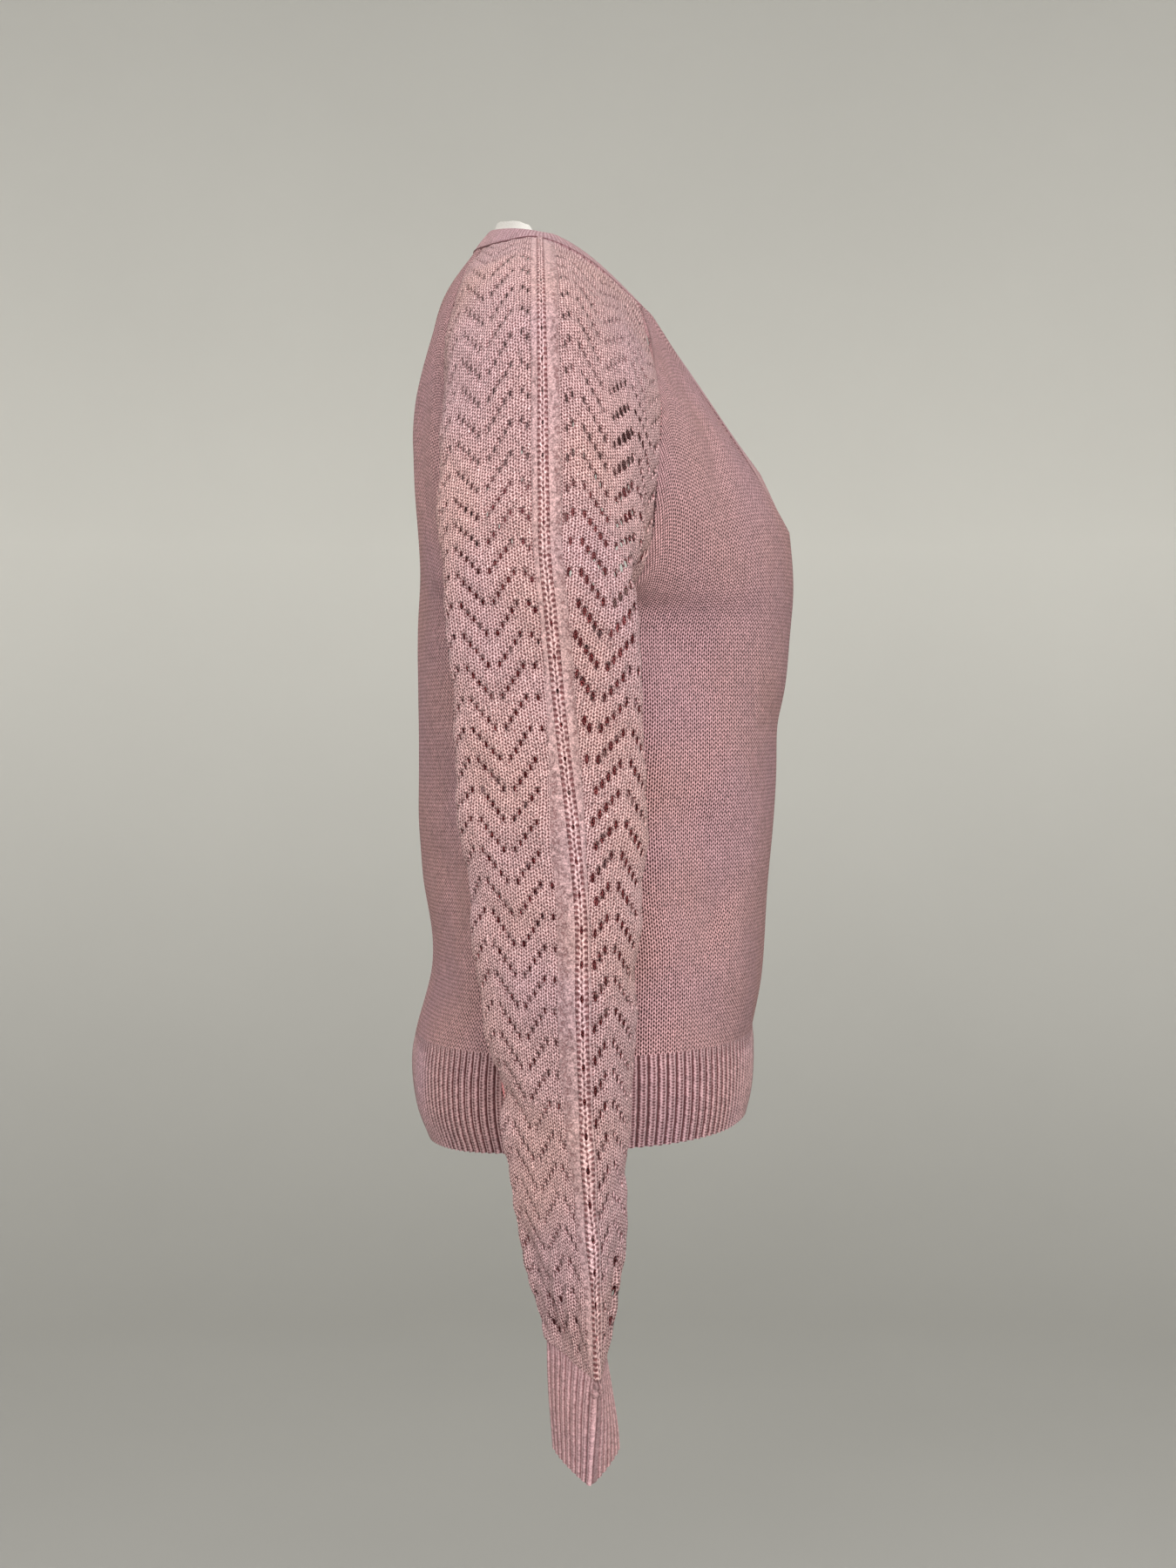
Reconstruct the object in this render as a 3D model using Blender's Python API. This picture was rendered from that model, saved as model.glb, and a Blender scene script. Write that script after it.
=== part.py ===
"""A V-neck pullover with raglan lace sleeves, worn and hollow, in metres.

+Z is up, the front faces -Y and +X is the wearer's left. The origin is the middle of the
neck's base, where the wearer or the form holds the pullover up. The tables below are in
millimetres and hold the right half. The left half is its mirror image.

Every wall is a middle surface through the seams' rails, thickened along normals that both
pieces at a seam share, so that their edges are mitred and stay SEAM_GAP apart.
"""

import bpy
import numpy as np

MM = 0.001
BODY_WALL = 2.0
LACE_WALL = 1.8
RIB_WALL = 2.6
TAPE_WALL = 1.0
SEAM_GAP = 0.4
CORNER_LIMIT = 0.25  # keeps the gap's shift at a sharp corner under four times its own size
SHARP_ANGLE = 50  # degrees between faces from which an edge is shaded sharp
BAND_WIDTH_STEPS = 1
TAPE_CLEARANCE = 0.3
TAPE_RISE = 5.0
TAPE_HALF_STEPS = 9

# Rows: 0 is the hem's seam, UNDERARM_ROW the underarm, TOP_ROW the neckband's seam.
UNDERARM_ROW = 8
V_ROW = 12
TOP_ROW = 21
HALF_COLUMNS = 10
CAP_ROWS = TOP_ROW - UNDERARM_ROW
SLEEVE_ROWS = 24
SLEEVE_COLUMNS = 20
HEM_ROWS = 3
CUFF_ROWS = 2
CLOSING_ROWS = 3  # rows below the underarm over which the sleeve becomes a round tube
TURNED = [0, 3, 2, 1]  # a face turned over, which keeps the diagonal that splits it

# Rails of the right sleeve: station (0 neckband, CAP_ROWS underarm, SLEEVE_ROWS cuff), x, y, z.
RIDGE = (
    (0, -92, 16, -3),
    (2, -133, 15, -19),
    (4, -168, 14, -39),
    (6, -196, 13, -72),
    (8, -211, 12, -122),
    (10, -219, 11, -180),
    (13, -224, 8, -240),
    (15, -229, 4, -315),
    (17, -235, -3, -400),
    (19, -239, -10, -485),
    (21, -242, -14, -575),
    (23, -239, -18, -665),
    (24, -232, -20, -720),
)
FRONT_FOLD = (
    (0, -95, -15, -18),
    (2, -127, -24, -40),
    (4, -159, -31, -66),
    (6, -186, -36, -102),
    (8, -199, -38, -145),
    (10, -205, -38, -195),
    (13, -206, -43, -243),
    (15, -206, -49, -318),
    (17, -207, -50, -400),
    (19, -208, -45, -483),
    (21, -208, -41, -568),
    (23, -205, -36, -652),
    (24, -202, -27, -710),
)
BACK_FOLD = (
    (0, -66, 40, 0),
    (2, -100, 55, -18),
    (4, -134, 65, -48),
    (6, -165, 70, -92),
    (8, -184, 74, -142),
    (10, -193, 76, -195),
    (13, -197, 73, -242),
    (15, -200, 68, -316),
    (17, -203, 63, -396),
    (19, -206, 52, -480),
    (21, -208, 38, -565),
    (23, -206, 24, -650),
    (24, -202, 11, -700),
)
FRONT_SEAM = (
    (0, -85, -49, -46),
    (2, -108, -54, -68),
    (4, -131, -57, -93),
    (6, -151, -62, -122),
    (8, -161, -59, -160),
    (10, -163, -54, -212),
    (11, -166, -42, -238),
    (12, -170, -16, -247),
    (13, -172, 8, -249),
)
BACK_SEAM = (
    (0, -34, 57, 2),
    (2, -62, 68, -24),
    (4, -88, 76, -62),
    (6, -110, 77, -102),
    (8, -134, 71, -150),
    (10, -153, 61, -207),
    (11, -162, 50, -235),
    (12, -170, 30, -246),
    (13, -172, 8, -249),
)
INNER_LINE = (
    (13, -172, 8, -249),
    (15, -178, 8, -310),
    (17, -178, 6, -390),
    (19, -180, 3, -475),
    (21, -183, -2, -560),
    (23, -180, -6, -648),
    (24, -171, -9, -698),
)
# The cuff's lower edge, at the ridge, the back corner, the inner crease and the front corner.
CUFF_TIP = (-236, -16, -782)
CUFF_BACK = (-204, 5, -767)
CUFF_INNER = (-171, -12, -758)
CUFF_FRONT = (-203, -32, -768)

# How far the cuff's sides are straight between its corners, and the station where that starts.
CUFF_CREASE = 0.6
CREASE_FROM = 19

# Rails of the body's right half: row, x, y, z.
SIDE_SEAM = (
    (0, -172, -10, -532),
    (2, -166, -10, -460),
    (4, -159, -8, -390),
    (6, -160, -3, -318),
    (7, -163, 2, -284),
    (8, -172, 8, -249),
)
CENTRE_FRONT = (
    (0, 0, -126, -524),
    (1, 0, -133, -488),
    (3, 0, -138, -420),
    (5, 0, -143, -352),
    (7, 0, -150, -290),
    (8, 0, -152, -262),
    (10, 0, -154, -227),
    (12, 0, -152, -190),
)
V_EDGE = (
    (12, 0, -152, -190),
    (14, -22, -134, -160),
    (17, -48, -104, -118),
    (19, -65, -81, -88),
    (21, -80, -57, -53),
)
CENTRE_BACK = (
    (0, 0, 101, -528),
    (1, 0, 92, -485),
    (3, 0, 97, -418),
    (5, 0, 100, -345),
    (8, 0, 100, -255),
    (10, 0, 97, -205),
    (11, 0, 97, -182),
    (13, 0, 102, -142),
    (15, 0, 102, -110),
    (17, 0, 94, -72),
    (19, 0, 84, -33),
    (21, 0, 63, 4),
)
# How a row leaves its seam: row, turn from straight ahead towards the middle (degrees), pull
# at the seam, pull at the middle, and the slope there (degrees).
FRONT_LEAVE = (
    (0, 0, 1.28, 1.25, 0),
    (6, 0, 1.28, 1.30, 0),
    (8, 16, 1.25, 1.35, 0),
    (12, 32, 1.00, 1.25, 2),
    (16, 55, 0.90, 1.00, 18),
    (21, 60, 1.00, 1.00, 40),
)
BACK_LEAVE = (
    (0, 0, 1.22, 1.15, 0),
    (6, 0, 1.15, 1.15, 0),
    (8, 18, 1.15, 1.15, 0),
    (12, 30, 0.90, 1.05, 0),
    (16, 52, 0.90, 1.00, 0),
    (21, 66, 1.00, 1.00, 0),
)

# The hem's rings below its seam: how far the side, front and back stand out, then how far they
# drop.
HEM_RINGS = (
    (0, 0, 0, 0, 0, 0, 0),
    (1, 2.0, 0.5, 2.5, 20, 19, 23),
    (2, 1.0, -1.0, 0.5, 40, 39, 47),
    (3, -4.0, -5.0, -8.0, 58, 56, 69),
)

# The neckband's inner edge against its seam: step from the V, x, y, z.
BAND_EDGE = (
    (0, 0, -132, -146),
    (3, -20, -111, -121),
    (6, -42, -78, -77),
    (9, -53, -54, -46),
    (10, -56, -46, -37),
    (14, -65, -16, -10),
    (17, -69, 4, 2),
    (20, -70, 16, 5),
    (24, -62, 32, 9),
    (30, -29, 48, 15),
    (40, 0, 52, 17),
)

# Large soft folds as seen from the side: name, start y z, end y z, half width, depth.
FRONT_FOLDS = (
    ("beside the sleeve", -78, -250, -84, -440, 20, 5.0),
    ("under the bust", -125, -262, -84, -330, 16, 2.5),
    ("towards the hem", -100, -400, -92, -505, 16, 3.0),
)
BACK_FOLDS = (
    ("behind the sleeve", 82, -120, 80, -225, 14, 3.0),
    ("lower back", 76, -370, 82, -500, 16, 4.5),
)

PINK = (0.50, 0.255, 0.27, 1)
PINK_LACE = (0.53, 0.28, 0.285, 1)
PINK_RIB = (0.47, 0.235, 0.25, 1)
WHITE = (0.83, 0.80, 0.75, 1)


def along(table, where):
    """The table's columns after its first, at each place, by cubics whose slope at a row is the
    mean of the slopes to its neighbours."""
    rows = np.array(table, float)
    at, values = rows[:, 0], rows[:, 1:]
    rise = np.diff(values, axis=0) / np.diff(at)[:, None]
    slope = np.vstack([rise[:1], (rise[:-1] + rise[1:]) / 2, rise[-1:]])
    where = np.clip(np.asarray(where, float), at[0], at[-1])
    i = np.clip(np.searchsorted(at, where, side="right") - 1, 0, len(at) - 2)
    span = (at[i + 1] - at[i])[:, None]
    t = ((where - at[i]) / span[:, 0])[:, None]
    return hermite(values[i], slope[i] * span, values[i + 1], slope[i + 1] * span, t)


def hermite(start, leave, end, arrive, t):
    """The cubic from start to end that leaves and arrives with the given tangents."""
    t2, t3 = t * t, t * t * t
    return (
        (2 * t3 - 3 * t2 + 1) * start
        + (t3 - 2 * t2 + t) * leave
        + (3 * t2 - 2 * t3) * end
        + (t3 - t2) * arrive
    )


def half_rows(edge, middle, leave, forward):
    """One half of a body panel: a cubic in every row, from the seam to the middle. forward is -1
    on the front and 1 on the back."""
    turn, seam_pull, middle_pull, slope = np.radians(leave[:, [0]]), *np.split(leave[:, 1:], 3, 1)
    slope = np.radians(slope)
    chord = np.linalg.norm(middle - edge, axis=1, keepdims=True)
    fall = middle[:, 2:] - edge[:, 2:]
    out = np.hstack([np.sin(turn) * chord, forward * np.cos(turn) * chord, fall]) * seam_pull
    into = np.hstack([np.cos(slope) * chord, forward * np.sin(slope) * chord, fall]) * middle_pull
    t = np.linspace(0, 1, HALF_COLUMNS + 1)[None, :, None]
    return hermite(edge[:, None], out[:, None], middle[:, None], into[:, None], t)


def press(grid, folds, forward):
    """Presses soft folds into a panel: a bell across each fold's line, faded at its ends. They go
    in half towards the middle line and half towards the other panel."""
    inward = np.array([1, -forward]) * np.sqrt(0.5)
    for _, y0, z0, y1, z1, half_width, depth in folds:
        start, line = np.array([y0, z0]), np.array([y1 - y0, z1 - z0])
        place = (grid[..., 1:] - start) @ line / (line @ line)
        off = grid[..., 1:] - start - np.clip(place, 0, 1)[..., None] * line
        bell = np.exp(-((off**2).sum(-1)) / half_width**2)
        grid[..., :2] += inward * (depth * bell)[..., None]
    return grid


def front_half():
    rows = np.arange(TOP_ROW + 1)
    seam = along(FRONT_SEAM, TOP_ROW - rows[UNDERARM_ROW:])
    edge = np.vstack([along(SIDE_SEAM, rows[:UNDERARM_ROW]), seam])
    middle = np.vstack([along(CENTRE_FRONT, rows[:V_ROW]), along(V_EDGE, rows[V_ROW:])])
    grid = half_rows(edge, middle, along(FRONT_LEAVE, rows), -1)
    grid[-1] = edge[-1] + np.linspace(0, 1, HALF_COLUMNS + 1)[:, None] * (middle[-1] - edge[-1])
    inside = press(grid.copy(), FRONT_FOLDS, -1)
    grid[:, 1:-1] = inside[:, 1:-1]
    return grid


def back_half():
    rows = np.arange(TOP_ROW + 1)
    seam = along(BACK_SEAM, TOP_ROW - rows[UNDERARM_ROW:])
    edge = np.vstack([along(SIDE_SEAM, rows[:UNDERARM_ROW]), seam])
    grid = half_rows(edge, along(CENTRE_BACK, rows), along(BACK_LEAVE, rows), 1)
    inside = press(grid.copy(), BACK_FOLDS, 1)
    grid[:, 1:-1] = inside[:, 1:-1]
    return grid


def ring_through(rails, closed, crease):
    """Rows of the sleeve: a curve through its rails, from the back seam over the ridge to the
    front seam. Row by row, closed says how far the two ends run into each other, and crease how
    far the curve is pulled towards its chords."""
    step = len(rails) - 1
    points = np.stack(rails)
    slope = np.empty_like(points)
    slope[1:-1] = (points[2:] - points[:-2]) / 2
    joined = (points[1] - points[-2]) / 2
    slope[0] = closed * joined + (1 - closed) * (points[1] - points[0])
    slope[-1] = closed * joined + (1 - closed) * (points[-1] - points[-2])
    u = np.linspace(0, step, SLEEVE_COLUMNS + 1)
    i = np.minimum(u.astype(int), step - 1)
    t = (u - i)[:, None, None]
    curve = hermite(points[i], slope[i], points[i + 1], slope[i + 1], t)
    chord = points[i] + (points[i + 1] - points[i]) * t
    return (curve + (chord - curve) * crease).transpose(1, 0, 2)


def sleeve_grid():
    """The right sleeve: open rows over the shoulder, closed rings below the underarm."""
    stations = np.arange(SLEEVE_ROWS + 1)
    cap = stations[: CAP_ROWS + 1]
    inner = along(INNER_LINE, stations[CAP_ROWS + 1 :])
    front = np.vstack([along(FRONT_SEAM, cap), inner])
    back = np.vstack([along(BACK_SEAM, cap), inner])
    rails = [back, along(BACK_FOLD, stations), along(RIDGE, stations)]
    rails += [along(FRONT_FOLD, stations), front]
    closed = np.clip((stations - CAP_ROWS) / CLOSING_ROWS, 0, 1)[:, None]
    crease = CUFF_CREASE * np.clip((stations - CREASE_FROM) / (SLEEVE_ROWS - CREASE_FROM), 0, 1)
    return ring_through(rails, closed, crease[:, None])


def cuff_grid(top):
    """The right cuff: straight ribs from the sleeve's last ring to a lower edge of four arcs."""
    corners = np.array([CUFF_INNER, CUFF_BACK, CUFF_TIP, CUFF_FRONT, CUFF_INNER], float)
    rim = ring_through(corners[:, None], 1, CUFF_CREASE)[0]
    t = np.linspace(0, 1, CUFF_ROWS + 1)[:, None, None]
    return top + (rim - top) * t


def hem_grid(seam, forward):
    """Half of the hem's rib: the seam's row carried down, standing out as HEM_RINGS says."""
    quarter = np.linspace(0, np.pi / 2, HALF_COLUMNS + 1)
    side, middle = np.cos(quarter), np.sin(quarter)
    out_side, out_front, out_back, down_side, *down = along(HEM_RINGS, np.arange(HEM_ROWS + 1)).T
    out_middle = out_back if forward > 0 else out_front
    down_middle = down[1] if forward > 0 else down[0]
    grid = np.repeat(seam[None], HEM_ROWS + 1, axis=0)
    grid[..., 0] -= np.outer(out_side, side)
    grid[..., 1] += forward * np.outer(out_middle, middle)
    grid[..., 2] -= np.outer(down_side, 1 - middle) + np.outer(down_middle, middle)
    return grid


def band_grid(front, sleeve, back):
    """Half of the neckband, from the V round to the middle of the back: straight ribs from its
    seam on the panels and the sleeve to its inner edge."""
    seam = np.vstack([front[V_ROW:, -1], sleeve[0, ::-1], back[-1, 1:]])
    edge = along(BAND_EDGE, np.arange(len(seam)))
    t = np.linspace(0, 1, BAND_WIDTH_STEPS + 1)[:, None, None]
    return seam + (edge - seam) * t


def mirrored(grid):
    return grid * (-1, 1, 1)


def quads(grid, flip):
    """The grid's points and its faces, turned over when flip is set."""
    rows, columns = grid.shape[:2]
    at = np.arange(rows * columns).reshape(rows, columns)
    faces = np.stack([at[:-1, :-1], at[:-1, 1:], at[1:, 1:], at[1:, :-1]], -1).reshape(-1, 4)
    return grid.reshape(-1, 3), faces[:, TURNED] if flip else faces


def joined(parts):
    """One surface from (points, faces) pairs, with points in the same place made one."""
    points, faces, start = [], [], 0
    for some, own in parts:
        points.append(some)
        faces.append(own + start)
        start += len(some)
    points, faces = np.vstack(points), np.vstack(faces)
    _, first, index = np.unique(np.round(points, 3), axis=0, return_index=True, return_inverse=True)
    return points[first], index.reshape(-1)[faces]


def face_normals(points, faces):
    a, b, c, d = (points[faces[:, k]] for k in range(4))
    return np.cross(c - a, d - b)


def shared_normals(surfaces):
    """Unit normals by place over all the surfaces, so that pieces at a seam agree."""
    total = {}
    for points, faces in surfaces.values():
        normals = face_normals(points, faces)
        for corner in range(4):
            for key, normal in zip(map(tuple, np.round(points[faces[:, corner]], 3)), normals):
                total[key] = total.get(key, 0) + normal
    found = {}
    for name, (points, _) in surfaces.items():
        sums = np.array([total[key] for key in map(tuple, np.round(points, 3))])
        found[name] = sums / np.linalg.norm(sums, axis=1, keepdims=True)
    return found


def border(faces):
    """The edges that one face alone uses, in the direction that face runs."""
    edges = np.concatenate([faces[:, [k, (k + 1) % 4]] for k in range(4)])
    _, index, count = np.unique(np.sort(edges, axis=1), axis=0, return_inverse=True, return_counts=True)
    return edges[count[index.reshape(-1)] == 1]


def drawn_in(points, faces, normals):
    """The points with the border moved inwards by half a seam gap, within the surface."""
    rim = border(faces)
    side = np.cross(points[rim[:, 1]] - points[rim[:, 0]], normals[rim[:, 0]])
    side /= -np.linalg.norm(side, axis=1, keepdims=True)
    shift, ends = np.zeros_like(points), np.zeros(len(points))
    for k in range(2):
        np.add.at(shift, rim[:, k], side)
        np.add.at(ends, rim[:, k], 1)
    moved = ends > 0
    mean = shift[moved] / ends[moved][:, None]
    size = np.maximum((mean**2).sum(1, keepdims=True), CORNER_LIMIT)
    result = points.copy()
    result[moved] += mean / size * SEAM_GAP / 2
    return result


def shell(name, points, faces, normals, wall, colour):
    """A closed wall round a surface: its two sides and a rim along every border."""
    middle = drawn_in(points, faces, normals)
    rim = border(faces)
    count = len(points)
    vertices = np.vstack([middle + normals * wall / 2, middle - normals * wall / 2]) * MM
    rims = np.stack([rim[:, 1], rim[:, 0], rim[:, 0] + count, rim[:, 1] + count], -1)
    polygons = np.vstack([faces, faces[:, TURNED] + count, rims])
    mesh = bpy.data.meshes.new(name)
    mesh.from_pydata(vertices.tolist(), [], polygons.tolist())
    mesh.shade_smooth()
    mesh.set_sharp_from_angle(angle=np.radians(SHARP_ANGLE))
    mesh.materials.append(colour)
    piece = bpy.data.objects.new(name, mesh)
    bpy.context.scene.collection.objects.link(piece)
    return piece


def knit(name, colour, roughness):
    """A plain yarn colour."""
    material = bpy.data.materials.new(name)
    material.use_nodes = True
    shader = material.node_tree.nodes["Principled BSDF"]
    shader.inputs["Base Color"].default_value = colour
    shader.inputs["Roughness"].default_value = roughness
    shader.inputs["Metallic"].default_value = 0
    return material


def both_halves(grid, flip):
    return joined([quads(grid, flip), quads(mirrored(grid), not flip)])


def tape_surface(band, normals_of):
    """The tape inside the back of the neckband: the band's own points moved in past its wall,
    from its middle to a little above its edge."""
    half = band[:, -TAPE_HALF_STEPS - 1 :]
    normals = normals_of(half)
    inside = (RIB_WALL + TAPE_WALL) / 2 + TAPE_CLEARANCE
    up = half[-1] - half[0]
    up /= np.linalg.norm(up, axis=1, keepdims=True)
    rows = [(half[0] + half[-1]) / 2, half[-1], half[-1] + up * TAPE_RISE]
    tape = np.stack(rows) - normals[[0, -1, -1]] * inside
    return both_halves(tape, True)


def lookup(points, normals):
    """A function that gives the known normals at grid points."""
    known = {tuple(key): normal for key, normal in zip(np.round(points, 3), normals)}

    def normals_at(grid):
        flat = [known[tuple(key)] for key in np.round(grid.reshape(-1, 3), 3)]
        return np.array(flat).reshape(grid.shape)

    return normals_at


def main():
    for old in list(bpy.data.objects):
        bpy.data.objects.remove(old)
    front, back, sleeve = front_half(), back_half(), sleeve_grid()
    cuff = cuff_grid(sleeve[-1])
    hem_front, hem_back = hem_grid(front[0], -1), hem_grid(back[0], 1)
    band = band_grid(front, sleeve, back)
    pink, lace = knit("pink knit", PINK, 0.9), knit("pink lace", PINK_LACE, 0.9)
    rib, white = knit("pink rib", PINK_RIB, 0.92), knit("white tape", WHITE, 0.8)
    surfaces = {
        "front": both_halves(front, False),
        "back": both_halves(back, True),
        "sleeve_right": joined([quads(sleeve, True)]),
        "sleeve_left": joined([quads(mirrored(sleeve), False)]),
        "cuff_right": joined([quads(cuff, True)]),
        "cuff_left": joined([quads(mirrored(cuff), False)]),
        "hem_front": both_halves(hem_front, True),
        "hem_back": both_halves(hem_back, False),
        "neckband": both_halves(band, True),
    }
    finish = {
        "front": (BODY_WALL, pink),
        "back": (BODY_WALL, pink),
        "sleeve_right": (LACE_WALL, lace),
        "sleeve_left": (LACE_WALL, lace),
    }
    normals = shared_normals(surfaces)
    for name, (points, faces) in surfaces.items():
        shell(name, points, faces, normals[name], *finish.get(name, (RIB_WALL, rib)))
    normals_at = lookup(surfaces["neckband"][0], normals["neckband"])
    points, faces = tape_surface(band, normals_at)
    own = shared_normals({"neck_tape": (points, faces)})["neck_tape"]
    shell("neck_tape", points, faces, own, TAPE_WALL, white)


main()
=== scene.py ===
import bpy
import numpy as np
from mathutils import Matrix, Vector


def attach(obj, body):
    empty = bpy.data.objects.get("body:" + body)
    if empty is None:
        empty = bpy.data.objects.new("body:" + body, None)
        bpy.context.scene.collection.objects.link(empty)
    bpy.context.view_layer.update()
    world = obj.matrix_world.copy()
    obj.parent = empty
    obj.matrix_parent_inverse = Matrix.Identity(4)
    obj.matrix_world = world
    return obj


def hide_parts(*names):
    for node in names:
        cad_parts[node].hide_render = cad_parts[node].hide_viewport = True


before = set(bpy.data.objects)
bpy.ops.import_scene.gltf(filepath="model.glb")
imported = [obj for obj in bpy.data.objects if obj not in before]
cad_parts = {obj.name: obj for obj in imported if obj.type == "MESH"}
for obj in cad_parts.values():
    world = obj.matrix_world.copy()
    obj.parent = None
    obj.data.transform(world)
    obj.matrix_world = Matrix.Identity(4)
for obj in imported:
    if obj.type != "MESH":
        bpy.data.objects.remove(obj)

bl_info = {
    "name": "V-neck sweater with lace sleeves",
    "version": (1, 0, 0),
    "blender": (4, 5, 0),
    "location": "3D View > Sidebar > Sweater",
    "description": "Knits the panels, lace sleeves, ribs and neckband of a worn V-neck sweater",
    "category": "Add Mesh",
}

# Lengths in the tables and in the functions are in millimetres; meshes are in metres. +Z is up,
# the front faces -Y and +X is the wearer's left. The tables hold the right half, as the solids
# do; the left half is its mirror image, with soft folds of its own.
MM = 0.001
UNDERARM_ROW, V_ROW, TOP_ROW = 8, 12, 21
CAP_END, CUFF_STATION = 13, 24
CLOSING_ROWS = 3
CUFF_CREASE, CREASE_FROM = 0.6, 19

RIDGE = (
    (0, -92, 16, -3), (2, -133, 15, -19), (4, -168, 14, -39), (6, -196, 13, -72),
    (8, -211, 12, -122), (10, -219, 11, -180), (13, -224, 8, -240), (15, -229, 4, -315),
    (17, -235, -3, -400), (19, -239, -10, -485), (21, -242, -14, -575), (23, -239, -18, -665),
    (24, -232, -20, -720),
)
FRONT_FOLD = (
    (0, -95, -15, -18), (2, -127, -24, -40), (4, -159, -31, -66), (6, -186, -36, -102),
    (8, -199, -38, -145), (10, -205, -38, -195), (13, -206, -43, -243), (15, -206, -49, -318),
    (17, -207, -50, -400), (19, -208, -45, -483), (21, -208, -41, -568), (23, -205, -36, -652),
    (24, -202, -27, -710),
)
BACK_FOLD = (
    (0, -66, 40, 0), (2, -100, 55, -18), (4, -134, 65, -48), (6, -165, 70, -92),
    (8, -184, 74, -142), (10, -193, 76, -195), (13, -197, 73, -242), (15, -200, 68, -316),
    (17, -203, 63, -396), (19, -206, 52, -480), (21, -208, 38, -565), (23, -206, 24, -650),
    (24, -202, 11, -700),
)
FRONT_SEAM = (
    (0, -85, -49, -46), (2, -108, -54, -68), (4, -131, -57, -93), (6, -151, -62, -122),
    (8, -161, -59, -160), (10, -163, -54, -212), (11, -166, -42, -238), (12, -170, -16, -247),
    (13, -172, 8, -249),
)
BACK_SEAM = (
    (0, -34, 57, 2), (2, -62, 68, -24), (4, -88, 76, -62), (6, -110, 77, -102),
    (8, -134, 71, -150), (10, -153, 61, -207), (11, -162, 50, -235), (12, -170, 30, -246),
    (13, -172, 8, -249),
)
INNER_LINE = (
    (13, -172, 8, -249), (15, -178, 8, -310), (17, -178, 6, -390), (19, -180, 3, -475),
    (21, -183, -2, -560), (23, -180, -6, -648), (24, -171, -9, -698),
)
CUFF_CORNERS = (
    (-171, -12, -758), (-204, 5, -767), (-236, -16, -782), (-203, -32, -768), (-171, -12, -758),
)
SIDE_SEAM = (
    (0, -172, -10, -532), (2, -166, -10, -460), (4, -159, -8, -390), (6, -160, -3, -318),
    (7, -163, 2, -284), (8, -172, 8, -249),
)
CENTRE_FRONT = (
    (0, 0, -126, -524), (1, 0, -133, -488), (3, 0, -138, -420), (5, 0, -143, -352),
    (7, 0, -150, -290), (8, 0, -152, -262), (10, 0, -154, -227), (12, 0, -152, -190),
)
V_EDGE = (
    (12, 0, -152, -190), (14, -22, -134, -160), (17, -48, -104, -118), (19, -65, -81, -88),
    (21, -80, -57, -53),
)
CENTRE_BACK = (
    (0, 0, 101, -528), (1, 0, 92, -485), (3, 0, 97, -418), (5, 0, 100, -345), (8, 0, 100, -255),
    (10, 0, 97, -205), (11, 0, 97, -182), (13, 0, 102, -142), (15, 0, 102, -110), (17, 0, 94, -72),
    (19, 0, 84, -33), (21, 0, 63, 4),
)
# How a row leaves its seam: row, turn, pull at the seam, pull at the middle, slope there.
FRONT_LEAVE = (
    (0, 0, 1.28, 1.25, 0), (6, 0, 1.28, 1.30, 0), (8, 16, 1.25, 1.35, 0), (12, 32, 1.00, 1.25, 2),
    (16, 55, 0.90, 1.00, 18), (21, 60, 1.00, 1.00, 40),
)
BACK_LEAVE = (
    (0, 0, 1.22, 1.15, 0), (6, 0, 1.15, 1.15, 0), (8, 18, 1.15, 1.15, 0), (12, 30, 0.90, 1.05, 0),
    (16, 52, 0.90, 1.00, 0), (21, 66, 1.00, 1.00, 0),
)
# Rings of the hem: how far the side, front and back stand out, then how far they drop.
HEM_RINGS = (
    (0, 0, 0, 0, 0, 0, 0), (1, 2.0, 0.5, 2.5, 20, 19, 23), (2, 1.0, -1.0, 0.5, 40, 39, 47),
    (3, -4.0, -5.0, -8.0, 58, 56, 69),
)
BAND_EDGE = (
    (0, 0, -132, -146), (3, -20, -111, -121), (6, -42, -78, -77), (9, -53, -54, -46),
    (10, -56, -46, -37), (14, -65, -16, -10), (17, -69, 4, 2), (20, -70, 16, 5), (24, -62, 32, 9),
    (30, -29, 48, 15), (40, 0, 52, 17),
)
# The soft folds that the solids have, as seen from the side: start y z, end y z, half width, depth.
FRONT_HOLLOWS = (
    (-78, -250, -84, -440, 20, 5.0), (-125, -262, -84, -330, 16, 2.5),
    (-100, -400, -92, -505, 16, 3.0),
)
BACK_HOLLOWS = (
    (82, -120, 80, -225, 14, 3.0), (76, -370, 82, -500, 16, 4.5),
)

# Lace: the chain of tall stitches down the sleeve and the plain strips beside it. Station, the
# chain's place before the ridge, the strips' edges before and behind the chain.
CHAIN = (
    (0, -0.7, 10.5, 6.5), (10, -1.0, 10.5, 6.5), (12.4, -2.0, 10.5, 6.5), (14.1, 0.5, 10.5, 6.5),
    (15.4, 2.3, 9.5, 8.5), (16.7, 4.0, 7.0, 13.5), (17.9, 4.2, 5.0, 14.5), (19.1, 1.0, 5.0, 14.5),
    (20.2, 0.0, 5.0, 14.0), (22.0, 0.5, 5.0, 9.0), (23.2, 2.0, 5.0, 7.5), (24, 2.0, 5.0, 7.0),
)
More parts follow.
